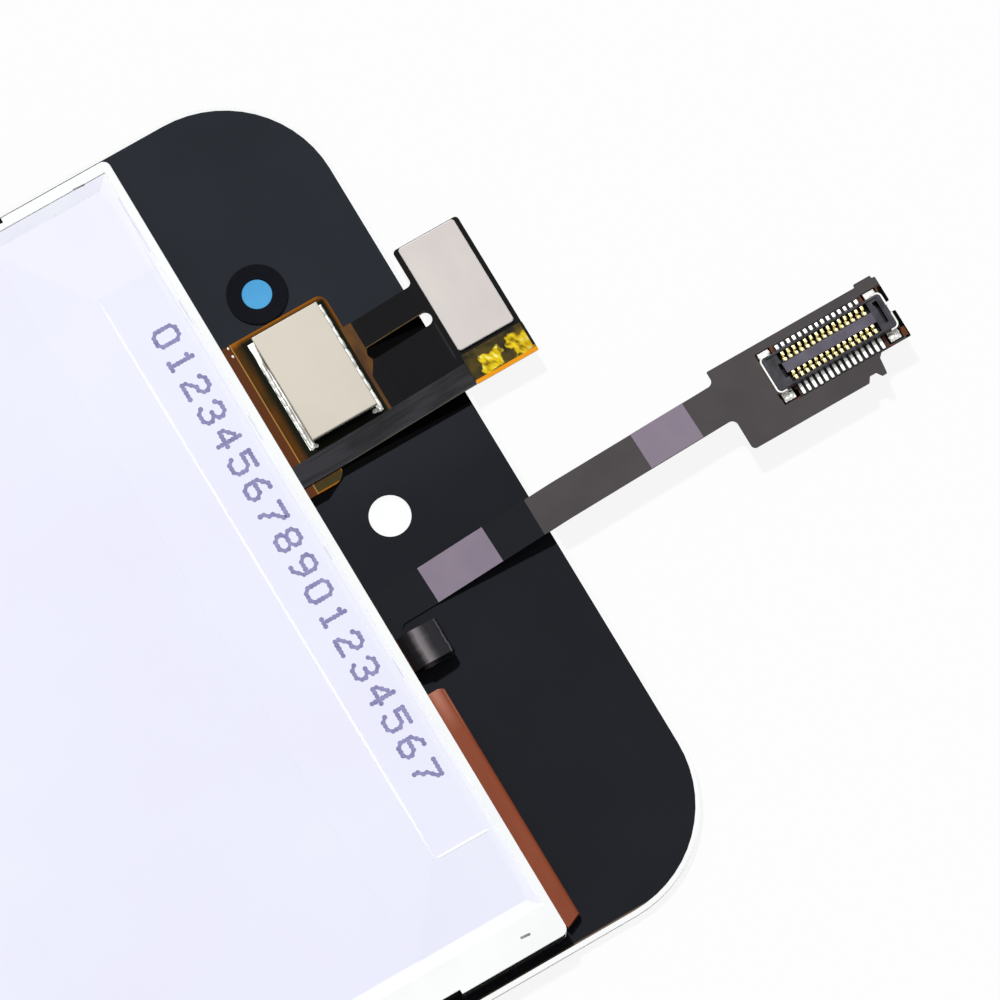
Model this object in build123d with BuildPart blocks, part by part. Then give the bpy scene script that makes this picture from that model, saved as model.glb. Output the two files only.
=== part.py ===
from build123d import *
from math import atan2, degrees
import os

# The display assembly of a small portable player, built as it lies on a bench with its back up: a glass
# front with its print, touch sensor and flexible circuits, and behind it the liquid crystal panel with
# its backlight. Lengths are in millimetres. The origin is the centre of the front face of the glass.
# +Z points out of the back, and +Y along the length, to the end where the flexible circuits leave.

# Cover glass
glass_width = 57.2
glass_length = 110.0
glass_thickness = 0.70
glass_corner_radius = 7.8
glass_chamfer = 0.12
button_hole_diameter = 11.0
button_hole_setback = 7.6

# Black print on the back of the glass, with a camera window and a light sensor window on one line
print_margin = 0.30
print_thickness = 0.05
window_overlap = 0.40
sight_line_setback = 8.15
camera_window_x = -0.08
camera_window_diameter = 2.6
sensor_window_x = -16.15
sensor_window_diameter = 1.60

# Filter and gasket of the light sensor
filter_diameter = 1.85
filter_thickness = 0.08
gasket_diameter = 3.77
gasket_thickness = 0.15
gasket_clearance = 0.04

# Touch sensor glass and the adhesive that bonds it
adhesive_thickness = 0.10
adhesive_inset = 0.60
touch_glass_thickness = 0.30
touch_glass_inset = 0.20
sheet_corner_radius = 0.30

# Panel module: places of its outline on the glass
module_end_setback = 11.98
module_tail_setback = 15.0
module_side_setback = 0.85
module_waist_depth = 0.30
module_waist_setback = 7.40
module_corner_radius = 0.50

# Moulded frame of the module
frame_side_wall = 0.55
frame_end_wall = 0.75
frame_ledge = 1.55
rim_height = 0.20
rim_left = 0.70
rim_right = 2.25
rim_end = 0.52
rim_tail = 0.80
side_tape_thickness = 0.06
side_tape_height = 1.25
side_tape_inset = 0.32

# Liquid crystal cell
cell_clearance = 0.10
polariser_thickness = 0.10
polariser_inset = 0.60
colour_filter_thickness = 0.20
tft_thickness = 0.20
tft_shelf = 3.20
chip_length = 18.0
chip_width = 1.00
chip_thickness = 0.20
chip_setback = 2.60

# Backlight
film_thickness = 0.05
guide_thickness = 0.50
guide_clearance = 0.15
guide_end_setback = 5.00
reflector_thickness = 0.06
reflector_gap = 0.06
lamp_count = 6
lamp_pitch = 6.60
lamp_length = 3.00
lamp_width = 0.80
lamp_height = 0.42
lamp_strip_length = 40.1
lamp_strip_x = -0.15
lamp_strip_width = 3.80
lamp_strip_gap = 0.15
lamp_strip_corner = 0.30
emboss_wall = 0.10

# Flexible circuits, all of one thickness
flex_thickness = 0.10
flex_air = 0.10

# Folded tail of the lamp strip
lamp_tail_x = 8.15
lamp_tail_width = 2.30
lamp_tail_root = 1.00
lamp_tail_step = 0.25
lamp_tail_exit = 0.85
lamp_tail_crest = 1.15
lamp_tail_crest_reach = 0.95
lamp_tail_shoulder = 0.95
lamp_tail_reach = 2.88
lamp_tail_return = 2.40
lamp_tail_bend_radius = 0.25
lamp_tail_crest_radius = 1.20
lamp_tail_fold_radius = 0.45
lamp_tail_clearance = 0.15

# Panel flex, bonded under the shelf of the panel glass and folded back outside
panel_flex_start_x = 10.78
panel_flex_end_inset = 0.95
panel_flex_flare = 0.50
panel_flex_reach = 1.22
panel_flex_bond = 0.85
panel_flex_corner = 0.40
panel_fold_flat = 0.02

# Long flex with the board connector
root_gap = 0.08
root_width = 0.85
neck_width = 2.50
neck_root_x = 4.94
neck_tip_x = 4.26
neck_flat = 3.40
neck_rise_end = 1.00
neck_lift = 1.15
neck_bend_radius = 4.0
neck_pad_thickness = 0.04
neck_pad_margin = 0.01
glass_pad_gap = 0.22
glass_pad_length = 4.62
free_pad_reach = 6.80
free_pad_length = 3.70

# Head of the long flex, measured from the middle of its connector
connector_x = 4.46
connector_reach = 20.02
plate_left = 2.30
plate_right = 3.30
plate_start = 7.28
plate_end = 4.63
plate_corner_radius = 0.30
plate_edge_radius = 0.08
plate_shoulder_radius = 0.40
ear_reach = 2.00
ear_start = 2.28
ear_slant = 0.26
ear_drop = 0.12
bite_middle = 1.43
bite_width = 0.56
bite_depth = 0.36
bite_slant = 0.24
bump_height = 0.20
bump_middle = 3.80
bump_length = 1.20
end_notch_x = -0.22
end_notch_width = 0.70
end_notch_depth = 0.32
stiffener_thickness = 0.20
stiffener_inset = 0.15

# Board connector: two rows of contacts in a moulded housing
contact_pitch = 0.40
contacts_per_row = 15
contact_width = 0.18
contact_thickness = 0.07
contact_span_left = 1.59
contact_span_right = 1.74
contact_riser = 0.93
contact_drop = 0.74
contact_spring = 0.43
contact_top = 0.60
contact_floor = 0.16
contact_clearance = 0.02
housing_width = 2.28
housing_end_length = 1.15
housing_height = 0.70
housing_corner_radius = 0.22
groove_outer = 1.00
groove_inner = 0.34
groove_floor = 0.11
groove_end_gap = 0.30
rib_height = 0.58
end_height = 0.62
key_width = 0.24
key_hook = 0.32
key_root_length = 0.96
key_root_setback = 0.88
key_root_shift = 0.11
key_tip_length = 1.50
key_tip_setback = 0.45
key_tip_shift = -0.07
nail_thickness = 0.13
nail_clearance = 0.01
nail_height = 0.60
nail_leg = 0.62
nail_notch = 0.53
nail_foot_span_left = 1.66
nail_foot_span_right = 1.80
nail_foot_length = 0.75
nail_foot_setback = 0.05
nail_foot_thickness = 0.07

# Touch flex: a board under the shield, two arms beside a slot, and a head past the end of the glass
board_left_x = -14.20
board_tongue_x = -3.42
touch_right_x = -4.50
board_length = 7.30
board_tongue_length = 2.78
board_bond = 1.80
board_corner_radius = 0.60
tongue_corner_radius = 0.80
arm_left_x = -11.70
arm_inner_radius = 0.35
arm_slot_x = -9.42
arm_slot_width = 0.85
arm_slot_start = 7.72
arm_slot_end = 0.22
arm_lift = 0.75
arm_bend_radius = 3.0
arm_root = 8.00
head_left_x = -14.12
head_start = 0.20
head_length = 4.55
head_corner_radius = 0.25

# What the head carries
head_plate_thickness = 0.20
head_plate_inset = 0.07
head_plate_length = 7.45
head_plate_width = 3.90
head_plate_radius = 0.20
head_plate_chamfer = 0.04
tape_thickness = 0.08
tape_overhang = 0.22
tape_corner_radius = 0.08
tape_gap = 0.25
tape_margin = 0.02
test_pad_thickness = 0.03
test_pad_length = 1.10
test_pad_width = 1.00
test_pad_corner_radius = 0.20
test_pad_pitch = 2.10
test_pad_shift = 0.55
plug_length = 6.60
plug_width = 2.20
plug_height = 0.60
plug_wall = 0.30
plug_corner_radius = 0.15
plug_end_wall = 0.60
plug_floor = 0.15
plug_contact_count = 12
plug_contact_foot = 0.30
plug_contact_lap = 0.30

# Shield over the touch controller
shield_x = -10.01
shield_setback = 4.32
shield_height = 0.85
shield_wall = 0.12
shield_foot_front = 0.46
shield_foot_back = 0.35
shield_foot_reach = 0.42
shield_foot_thickness = 0.10
shield_top_rail = 0.45
shield_foot_gap = 0.25
shield_foot_pitch = 2.78
shield_mouth_margin = 0.45
lid_thickness = 0.08
lid_skirt = 0.30
lid_clearance = 0.02
controller_length = 4.60
controller_width = 3.20
controller_thickness = 0.55
controller_gap = 0.29
controller_side_gap = 0.455
capacitor_length = 0.60
capacitor_width = 0.30
capacitor_height = 0.30
capacitor_count = 4
capacitor_pitch = 0.75
capacitor_gap = 0.86
capacitor_end_gap = 0.63

# Ground strip beside the shield, up to the head
strip_width = 1.50
strip_root_x = -4.87
strip_tip_x = -5.05
strip_flat = 3.40
strip_overlap = 0.25
strip_bend_radius = 8.0

# Levels, counted up from the front face of the glass
print_top = glass_thickness + print_thickness
touch_level = print_top + adhesive_thickness
module_level = touch_level + touch_glass_thickness
filter_level = module_level + polariser_thickness
tft_level = filter_level + colour_filter_thickness
tft_top = tft_level + tft_thickness
cell_top = tft_top + polariser_thickness
guide_level = cell_top + 3 * film_thickness
guide_top = guide_level + guide_thickness
module_top = guide_top + rim_height
flex_top = print_top + flex_thickness
head_level = print_top + arm_lift
head_top = head_level + flex_thickness
neck_level = print_top + neck_lift
neck_top = neck_level + flex_thickness

# Places along and across the glass
glass_end = glass_length / 2
module_end = glass_end - module_end_setback
module_tail = -glass_end + module_tail_setback
module_half = glass_width / 2 - module_side_setback
waist_half = module_half - module_waist_depth
panel_flex_end_x = module_half - panel_flex_end_inset
waist_y = module_end - module_waist_setback
sight_y = glass_end - sight_line_setback
button_y = -glass_end + button_hole_setback
pocket_half = waist_half - frame_side_wall
pocket_tail = module_tail + frame_end_wall
pocket_end = module_end - frame_end_wall
guide_half = pocket_half - frame_ledge
guide_tail = pocket_tail + frame_ledge
guide_end = module_end - guide_end_setback
head_y = glass_end + head_start
board_y = module_end - board_bond
touch_glass_half = waist_half - touch_glass_inset


def level_sheet(half_width, y_start, y_end, level, thickness):
    """A flat sheet with rounded corners, its lower face at the given level."""
    with BuildPart() as sheet:
        with BuildSketch(Plane.XY.offset(level)):
            with Locations((0, (y_start + y_end) / 2)):
                RectangleRounded(2 * half_width, y_end - y_start, sheet_corner_radius)
        extrude(amount=thickness)
    return sheet


def bent_sheet(x_start, x_end, path, radii, thickness):
    """A sheet bent along a path of points (y, z), which is the middle of its thickness."""
    with BuildPart() as sheet:
        with BuildSketch(Plane.YZ.offset(x_start)):
            with BuildLine():
                FilletPolyline(*path, radius=radii)
            trace(line_width=thickness)
        extrude(amount=x_end - x_start)
    return sheet


# Cover glass, with the round hole of the front button near its tail end
with BuildPart() as cover_glass:
    with BuildSketch():
        RectangleRounded(glass_width, glass_length, glass_corner_radius)
        with Locations((0, button_y)):
            Circle(button_hole_diameter / 2, mode=Mode.SUBTRACT)
    extrude(amount=glass_thickness)
    chamfer(cover_glass.faces().filter_by(Axis.Z).edges(), length=glass_chamfer)

# Black print: a border round the lit window, with small clear windows for the camera and the light sensor
window_half = guide_half - window_overlap
window_tail = guide_tail + window_overlap
window_end = guide_end - window_overlap
with BuildPart() as border_print:
    with BuildSketch(Plane.XY.offset(glass_thickness)):
        RectangleRounded(
            glass_width - 2 * print_margin,
            glass_length - 2 * print_margin,
            glass_corner_radius - print_margin,
        )
        with Locations((0, (window_tail + window_end) / 2)):
            Rectangle(2 * window_half, window_end - window_tail, mode=Mode.SUBTRACT)
        with Locations((camera_window_x, sight_y)):
            Circle(camera_window_diameter / 2, mode=Mode.SUBTRACT)
        with Locations((sensor_window_x, sight_y)):
            Circle(sensor_window_diameter / 2, mode=Mode.SUBTRACT)
        with Locations((0, button_y)):
            Circle(button_hole_diameter / 2 + print_margin, mode=Mode.SUBTRACT)
    extrude(amount=print_thickness)

# Blue filter over the sensor window, in the hole of a foam gasket
with BuildPart() as sensor_filter:
    with BuildSketch(Plane.XY.offset(print_top)):
        with Locations((sensor_window_x, sight_y)):
            Circle(filter_diameter / 2)
    extrude(amount=filter_thickness)

with BuildPart() as sensor_gasket:
    with BuildSketch(Plane.XY.offset(print_top)):
        with Locations((sensor_window_x, sight_y)):
            Circle(gasket_diameter / 2)
            Circle(filter_diameter / 2 + gasket_clearance, mode=Mode.SUBTRACT)
    extrude(amount=gasket_thickness)

# Optical adhesive: it fills the window of the print and spreads out behind it
adhesive_tail = module_tail + adhesive_inset
adhesive_end = board_y - flex_air
with BuildPart() as optical_adhesive:
    with BuildSketch(Plane.XY.offset(glass_thickness)):
        with Locations((0, (window_tail + window_end) / 2)):
            Rectangle(2 * window_half, window_end - window_tail)
    extrude(amount=print_thickness)
    with BuildSketch(Plane.XY.offset(print_top)):
        with Locations((0, (adhesive_tail + adhesive_end) / 2)):
            Rectangle(2 * (waist_half - adhesive_inset), adhesive_end - adhesive_tail)
    extrude(amount=adhesive_thickness)

touch_sensor_glass = level_sheet(
    touch_glass_half,
    module_tail + touch_glass_inset,
    module_end - touch_glass_inset,
    touch_level,
    touch_glass_thickness,
)

# Liquid crystal cell between its polarisers. The rear glass carries a shelf for the driver chip.
cell_half = pocket_half - cell_clearance
cell_tail = pocket_tail + cell_clearance
cell_end = pocket_end - cell_clearance
shelf_y = cell_end - tft_shelf
front_polariser = level_sheet(
    cell_half - polariser_inset,
    cell_tail + polariser_inset,
    shelf_y - polariser_inset,
    module_level,
    polariser_thickness,
)
colour_filter_glass = level_sheet(cell_half, cell_tail, shelf_y, filter_level, colour_filter_thickness)
tft_glass = level_sheet(cell_half, cell_tail, cell_end, tft_level, tft_thickness)
rear_polariser = level_sheet(
    cell_half - polariser_inset,
    cell_tail + polariser_inset,
    shelf_y - polariser_inset,
    tft_top,
    polariser_thickness,
)

with BuildPart() as driver_chip:
    with BuildSketch(Plane.XY.offset(tft_level)):
        with Locations((0, module_end - chip_setback)):
            Rectangle(chip_length, chip_width)
    extrude(amount=-chip_thickness)

# Backlight: three films, the light guide, and a strip of side lamps at the end of the guide
film_half = guide_half - guide_clearance
film_tail = guide_tail + guide_clearance
lower_prism_film = level_sheet(film_half, film_tail, guide_end, cell_top, film_thickness)
upper_prism_film = level_sheet(film_half, film_tail, guide_end, cell_top + film_thickness, film_thickness)
diffuser_film = level_sheet(film_half, film_tail, guide_end, cell_top + 2 * film_thickness, film_thickness)
light_guide_plate = level_sheet(film_half, film_tail, guide_end, guide_level, guide_thickness)

strip_y = guide_end + lamp_strip_gap
with BuildPart() as backlight_lamps:
    with BuildSketch(Plane.XY.offset(guide_top)):
        with Locations((0, strip_y + lamp_width / 2)):
            with GridLocations(lamp_pitch, 0, lamp_count, 1):
                Rectangle(lamp_length, lamp_width)
    extrude(amount=-lamp_height)

# The lamp strip lies on the guide's level. Its tail dips, leaves through the end wall of the frame, arches
# over and folds back under itself, down to the root of the long flex.
strip_level = guide_top + flex_thickness / 2
strip_end_y = strip_y + lamp_strip_width
tail_level = module_level + lamp_tail_exit - flex_thickness / 2
crest_level = module_level + lamp_tail_crest - flex_thickness / 2
shoulder_level = module_level + lamp_tail_shoulder - flex_thickness / 2
return_level = flex_top + flex_thickness / 2
tail_fold_y = module_end + lamp_tail_reach - flex_thickness / 2
tail_half = lamp_tail_width / 2
tail_root_y = strip_end_y - lamp_tail_root
lamp_tail = bent_sheet(
    lamp_tail_x - tail_half,
    lamp_tail_x + tail_half,
    [
        (tail_root_y, strip_level),
        (tail_root_y + lamp_tail_step, strip_level),
        (pocket_end - lamp_tail_clearance, tail_level),
        (module_end + lamp_tail_clearance, tail_level),
        (module_end + lamp_tail_crest_reach, crest_level),
        (tail_fold_y, shoulder_level),
        (tail_fold_y, return_level),
        (tail_fold_y - lamp_tail_return, return_level),
    ],
    [
        lamp_tail_bend_radius,
        lamp_tail_bend_radius,
        lamp_tail_bend_radius,
        lamp_tail_crest_radius,
        lamp_tail_fold_radius,
        lamp_tail_fold_radius,
    ],
    flex_thickness,
)
with BuildPart() as backlight_flex:
    with BuildSketch(Plane.XY.offset(guide_top)):
        with Locations((lamp_strip_x, strip_y + lamp_strip_width / 2)):
            RectangleRounded(lamp_strip_length, lamp_strip_width, lamp_strip_corner)
        with Locations((lamp_tail_x, strip_end_y)):
            Rectangle(lamp_tail_width + 2 * flex_air, 2 * lamp_tail_root, mode=Mode.SUBTRACT)
    extrude(amount=flex_thickness)
    add(lamp_tail.part)


# Moulded frame: a rim round the reflector on the back, a well for the light guide and a pocket for the cell
def module_outline(level, growth=0.0):
    """The outline of the module, a long waist with a slightly wider end, let out by growth."""
    with BuildSketch(Plane.XY.offset(level)) as outline:
        with Locations((0, (module_tail + module_end) / 2)):
            Rectangle(2 * waist_half, module_end - module_tail)
        with Locations((0, (waist_y + module_end) / 2)):
            Rectangle(2 * module_half, module_end - waist_y)
        corners = outline.vertices().group_by(Axis.Y)
        fillet(corners[0] + corners[-1], radius=module_corner_radius)
        if growth:
            offset(amount=growth)
    return outline


rim_x_start = -module_half + rim_left
rim_x_end = module_half - rim_right
rim_y_start = module_tail + rim_tail
rim_y_end = module_end - rim_end
rim_middle = ((rim_x_start + rim_x_end) / 2, (rim_y_start + rim_y_end) / 2)
end_wall_middle = (pocket_end + module_end) / 2
with BuildPart() as backlight_frame:
    add(module_outline(module_level).sketch)
    extrude(amount=module_top - module_level)
    with BuildSketch(Plane.XY.offset(module_level)):
        with Locations((0, (pocket_tail + pocket_end) / 2)):
            Rectangle(2 * pocket_half, pocket_end - pocket_tail)
    extrude(amount=cell_top - module_level, mode=Mode.SUBTRACT)
    with BuildSketch(Plane.XY.offset(cell_top)):
        with Locations((0, (guide_tail + pocket_end) / 2)):
            Rectangle(2 * guide_half, pocket_end - guide_tail)
    extrude(amount=guide_top - cell_top, mode=Mode.SUBTRACT)
    with BuildSketch(Plane.XY.offset(guide_top)):
        with Locations(rim_middle):
            Rectangle(rim_x_end - rim_x_start, rim_y_end - rim_y_start)
    extrude(amount=rim_height, mode=Mode.SUBTRACT)
    # Slot through the end wall for the panel flex, open to the front
    with BuildSketch(Plane.XY.offset(module_level)):
        with Locations(((panel_flex_start_x + panel_flex_end_x) / 2, end_wall_middle)):
            Rectangle(panel_flex_end_x - panel_flex_start_x + 2 * flex_air, 2 * frame_end_wall)
    extrude(amount=tft_level + flex_air - module_level, mode=Mode.SUBTRACT)
    # Window through the end wall for the tail of the lamp strip
    with BuildSketch(Plane.XY.offset(tail_level - flex_thickness / 2 - flex_air)):
        with Locations((lamp_tail_x, end_wall_middle)):
            Rectangle(lamp_tail_width + 2 * flex_air, 2 * frame_end_wall)
    extrude(amount=flex_thickness + 2 * flex_air, mode=Mode.SUBTRACT)


def side_tape(side):
    """A strip of black tape along one long side wall of the module, following its step at the waist."""
    with BuildPart() as tape:
        with BuildSketch(Plane.XY.offset(module_level + (module_top - module_level - side_tape_height) / 2)):
            add(module_outline(0.0, side_tape_thickness).sketch)
            add(module_outline(0.0).sketch, mode=Mode.SUBTRACT)
            with Locations((side * module_half, (module_tail + module_end) / 2)):
                Rectangle(
                    2 * frame_side_wall,
                    module_end - module_tail - 2 * side_tape_inset,
                    mode=Mode.INTERSECT,
                )
        extrude(amount=side_tape_height)
    return tape


side_tape_left = side_tape(-1)
side_tape_right = side_tape(1)

# Reflector on the back: a white film in the rim, raised in a low plateau over the lamp strip
strip_middle = (lamp_strip_x, strip_y + lamp_strip_width / 2)
with BuildPart() as reflector_sheet:
    with BuildSketch(Plane.XY.offset(guide_top)):
        with Locations(rim_middle):
            Rectangle(
                rim_x_end - rim_x_start - 2 * reflector_gap,
                rim_y_end - rim_y_start - 2 * reflector_gap,
            )
    extrude(amount=reflector_thickness)
    with BuildSketch(Plane.XY.offset(guide_top)):
        with Locations(strip_middle):
            RectangleRounded(
                lamp_strip_length + 2 * emboss_wall,
                lamp_strip_width + 2 * emboss_wall,
                lamp_strip_corner + emboss_wall,
            )
    extrude(amount=flex_thickness + reflector_thickness)
    chamfer(reflector_sheet.faces().sort_by(Axis.Z)[-1].edges(), length=reflector_thickness / 2)
    with BuildSketch(Plane.XY.offset(guide_top)):
        with Locations(strip_middle):
            RectangleRounded(lamp_strip_length, lamp_strip_width, lamp_strip_corner)
    extrude(amount=flex_thickness, mode=Mode.SUBTRACT)

# Panel flex: bonded under the glass shelf, out through the slot and folded back onto the long flex
panel_bond_level = tft_level - flex_thickness / 2
panel_fold_y = module_end + panel_flex_reach - flex_thickness / 2
panel_bond_y = cell_end - panel_flex_bond
panel_tip_y = module_end + panel_flex_reach
panel_fold = bent_sheet(
    panel_flex_start_x,
    panel_flex_end_x + panel_flex_flare,
    [
        (panel_bond_y, panel_bond_level),
        (panel_fold_y, panel_bond_level),
        (panel_fold_y, return_level),
        (module_end + root_gap, return_level),
    ],
    (panel_bond_level - return_level - panel_fold_flat) / 2,
    flex_thickness,
)
with BuildPart() as panel_flex:
    add(panel_fold.part)
    with BuildSketch():
        with BuildLine():
            Polyline(
                (panel_flex_start_x, panel_bond_y - flex_air),
                (panel_flex_start_x, panel_tip_y - panel_flex_corner),
                (panel_flex_start_x + panel_flex_corner / 2, panel_tip_y + flex_air),
                (panel_flex_end_x, panel_tip_y + flex_air),
                (panel_flex_end_x + panel_flex_flare, module_end + root_gap + flex_air),
                (panel_flex_end_x, module_end + root_gap / 2),
                (panel_flex_end_x, panel_bond_y - flex_air),
                close=True,
            )
        make_face()
    extrude(amount=module_top, mode=Mode.INTERSECT)

# Long flex: its root runs along the end of the module, its neck climbs past the end of the glass
connector_y = glass_end + connector_reach
neck_y = connector_y - plate_start
neck_rise_y = module_end + neck_flat
neck_crest_y = glass_end + neck_rise_end
plate_tip_y = connector_y + plate_end
root_y = module_end + root_gap


def neck_x(y):
    """The middle of the neck at a place along it: the neck leans slightly on its way to the connector."""
    return neck_root_x + (neck_tip_x - neck_root_x) * (y - module_end) / (neck_y - module_end)


with BuildSketch() as head_outline:
    with Locations((connector_x - plate_left, connector_y - plate_start)):
        Rectangle(plate_left + plate_right, plate_start + plate_end, align=Align.MIN)
    with Locations((connector_x - plate_left, connector_y + bump_middle)):
        Rectangle(2 * bump_height, bump_length)
    # The cut beside the connector leaves an ear, and a bite with slanted flanks parts the ear from the plate
    with Locations((connector_x, connector_y)):
        Polygon(
            (ear_reach, 2 * plate_end),
            (ear_reach, ear_start + ear_slant),
            (ear_reach + ear_slant, ear_start),
            (plate_right, ear_start - ear_drop),
            (2 * plate_right, ear_start - ear_drop),
            (2 * plate_right, 2 * plate_end),
            align=None,
            mode=Mode.SUBTRACT,
        )
        Polygon(
            (plate_right, bite_middle + bite_width / 2 + bite_slant / 2),
            (plate_right - bite_depth, bite_middle + bite_width / 2 - bite_slant / 2),
            (plate_right - bite_depth, bite_middle - bite_width / 2),
            (plate_right, bite_middle - bite_width / 2 - bite_slant),
            align=None,
            mode=Mode.SUBTRACT,
        )
    with Locations((connector_x + end_notch_x, connector_y + plate_end)):
        Rectangle(end_notch_width, 2 * end_notch_depth, mode=Mode.SUBTRACT)

with BuildSketch() as connector_head:
    add(head_outline.sketch)
    round_corner = (connector_x + plate_right, connector_y - plate_start)
    fillet(connector_head.vertices().sort_by_distance(round_corner)[1:], radius=plate_edge_radius)
    fillet(connector_head.vertices().sort_by_distance(round_corner)[0], radius=plate_corner_radius)

neck_path = [
    (root_y, print_top + flex_thickness / 2),
    (neck_rise_y, print_top + flex_thickness / 2),
    (neck_crest_y, neck_level + flex_thickness / 2),
    (plate_tip_y + flex_air, neck_level + flex_thickness / 2),
]
root_right_x = panel_flex_end_x - flex_air
neck_sheet = bent_sheet(
    connector_x - plate_left - bump_height - flex_air,
    root_right_x + flex_air,
    neck_path,
    neck_bend_radius,
    flex_thickness,
)
root_left_x = neck_x(root_y) - neck_width / 2
with BuildPart() as connector_flex:
    add(neck_sheet.part)
    with BuildSketch() as neck_plan:
        add(connector_head.sketch)
        with BuildLine():
            Polyline(
                (neck_x(root_y) - neck_width / 2, root_y),
                (neck_x(root_y) + neck_width / 2, root_y),
                (neck_x(neck_y) + neck_width / 2, neck_y + plate_shoulder_radius),
                (neck_x(neck_y) - neck_width / 2, neck_y + plate_shoulder_radius),
                close=True,
            )
        make_face()
        with Locations(((root_left_x + root_right_x) / 2, root_y + root_width / 2)):
            Rectangle(root_right_x - root_left_x, root_width)
        shoulders = neck_plan.vertices().sort_by_distance((neck_x(neck_y), neck_y))[:2]
        fillet(shoulders, radius=plate_shoulder_radius)
        root_corner = (neck_x(root_y) + neck_width / 2, root_y + root_width)
        fillet(neck_plan.vertices().sort_by_distance(root_corner)[0], radius=plate_shoulder_radius)
    extrude(amount=module_top, mode=Mode.INTERSECT)

# Stiffener under the head of the long flex
with BuildPart() as connector_stiffener:
    with BuildSketch(Plane.XY.offset(neck_level)):
        offset(head_outline.sketch, amount=-stiffener_inset, kind=Kind.INTERSECTION)
    extrude(amount=-stiffener_thickness)

# Adhesive pads on the neck, turned with its lean: one on its slope over the glass, one on its free stretch
neck_lean = degrees(atan2(neck_root_x - neck_tip_x, neck_y - module_end))
slope_length = (Vector(0, neck_crest_y, neck_level) - Vector(0, neck_rise_y, print_top)).length
slope_rise = (neck_level - print_top) / slope_length
slope_run = (neck_crest_y - neck_rise_y) / slope_length
slope_foot = Plane(
    origin=(neck_x(neck_rise_y), neck_rise_y, print_top + flex_thickness / 2),
    x_dir=(1, 0, 0),
    z_dir=(0, -slope_rise, slope_run),
).offset(flex_thickness / 2)
pad_width = neck_width - 2 * neck_pad_margin
with BuildPart() as neck_pad_glass:
    with BuildSketch(slope_foot):
        with Locations(Rotation(0, 0, neck_lean)):
            with Locations((0, glass_pad_gap + glass_pad_length / 2)):
                Rectangle(pad_width, glass_pad_length)
    extrude(amount=neck_pad_thickness)

free_pad_y = glass_end + free_pad_reach + free_pad_length / 2
with BuildPart() as neck_pad_free:
    with BuildSketch(Plane.XY.offset(neck_top)):
        with Locations((neck_x(free_pad_y), free_pad_y)):
            Rectangle(pad_width, free_pad_length, rotation=neck_lean)
    extrude(amount=neck_pad_thickness)

# Board connector. In its seat plane X runs across the rows and Y along them.
seat = Plane(origin=(connector_x, connector_y, neck_top), x_dir=(1, 0, 0), z_dir=(0, 0, 1))
row_length = contacts_per_row * contact_pitch
housing_length = row_length + 2 * housing_end_length
groove_length = row_length + groove_end_gap
groove_middle = (groove_inner + groove_outer) / 2
groove_width = groove_outer - groove_inner
slot_start = contact_spring - contact_thickness / 2 - contact_clearance
slot_end = housing_width / 2 + contact_clearance
housing_half = housing_length / 2
with BuildPart() as connector_housing:
    with BuildSketch(seat):
        RectangleRounded(housing_width, housing_length, housing_corner_radius)
    extrude(amount=housing_height)
    with BuildSketch(seat.offset(groove_floor)):
        with Locations((-groove_middle, 0), (groove_middle, 0)):
            Rectangle(groove_width, groove_length)
    extrude(amount=housing_height, mode=Mode.SUBTRACT)
    # The middle rib and the two ends stand lower than the side walls
    with BuildSketch(seat.offset(rib_height)):
        Rectangle(2 * groove_outer, groove_length)
    extrude(amount=housing_height, mode=Mode.SUBTRACT)
    with BuildSketch(seat.offset(end_height)):
        Rectangle(2 * groove_outer, housing_length - 2 * key_width)
    extrude(amount=housing_height, mode=Mode.SUBTRACT)
    # Key slots, a short one at the root end and a long one at the tip end
    with BuildSketch(seat.offset(groove_floor)):
        with Locations((key_root_shift, key_root_setback - housing_half)):
            Rectangle(key_root_length, key_width)
        with Locations((key_tip_shift, housing_half - key_tip_setback)):
            Rectangle(key_tip_length, key_width)
        with Locations((key_tip_shift - key_tip_length / 2, housing_half - key_tip_setback + key_width / 2)):
            Rectangle(key_width, key_hook, align=(Align.MIN, Align.MAX))
    extrude(amount=housing_height, mode=Mode.SUBTRACT)
    # Slots that let the contacts in under the side walls
    with BuildSketch(seat):
        with Locations((-(slot_start + slot_end) / 2, 0), ((slot_start + slot_end) / 2, 0)):
            with GridLocations(0, contact_pitch, 1, contacts_per_row):
                Rectangle(slot_end - slot_start, contact_width + 2 * contact_clearance)
    extrude(amount=groove_floor, mode=Mode.SUBTRACT)

contact_foot = contact_thickness / 2


def contact_row(span, turn):
    """One row of contacts, whose tails reach out to the given span, turned about the seat's middle."""
    # A tail outside, a riser at the side wall, a drop into the groove and a spring at the rib
    with BuildPart() as contact:
        with BuildSketch(Plane.XZ):
            with BuildLine():
                Polyline(
                    (span, contact_foot),
                    (contact_riser, contact_foot),
                    (contact_riser, contact_top),
                    (contact_drop, contact_top),
                    (contact_drop, contact_floor),
                    (contact_spring, contact_floor),
                    (contact_spring, contact_top - contact_thickness),
                )
            trace(line_width=contact_thickness)
        extrude(amount=contact_width / 2, both=True)
    with BuildPart() as row:
        with Locations(seat):
            with GridLocations(0, contact_pitch, 1, contacts_per_row):
                add(contact.part, rotation=(0, 0, turn))
    return row


contacts_left = contact_row(contact_span_left, 180)
contacts_right = contact_row(contact_span_right, 0)

# Solder nails round the two ends of the housing. The nail at the tip end is in two halves.
nail_inner = housing_width / 2 + nail_clearance
nail_outer = nail_inner + nail_thickness
nail_end = housing_half + nail_clearance + nail_thickness
nail_inner_radius = housing_corner_radius + nail_clearance
foot_y = housing_half - nail_foot_setback - nail_foot_length / 2


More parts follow.
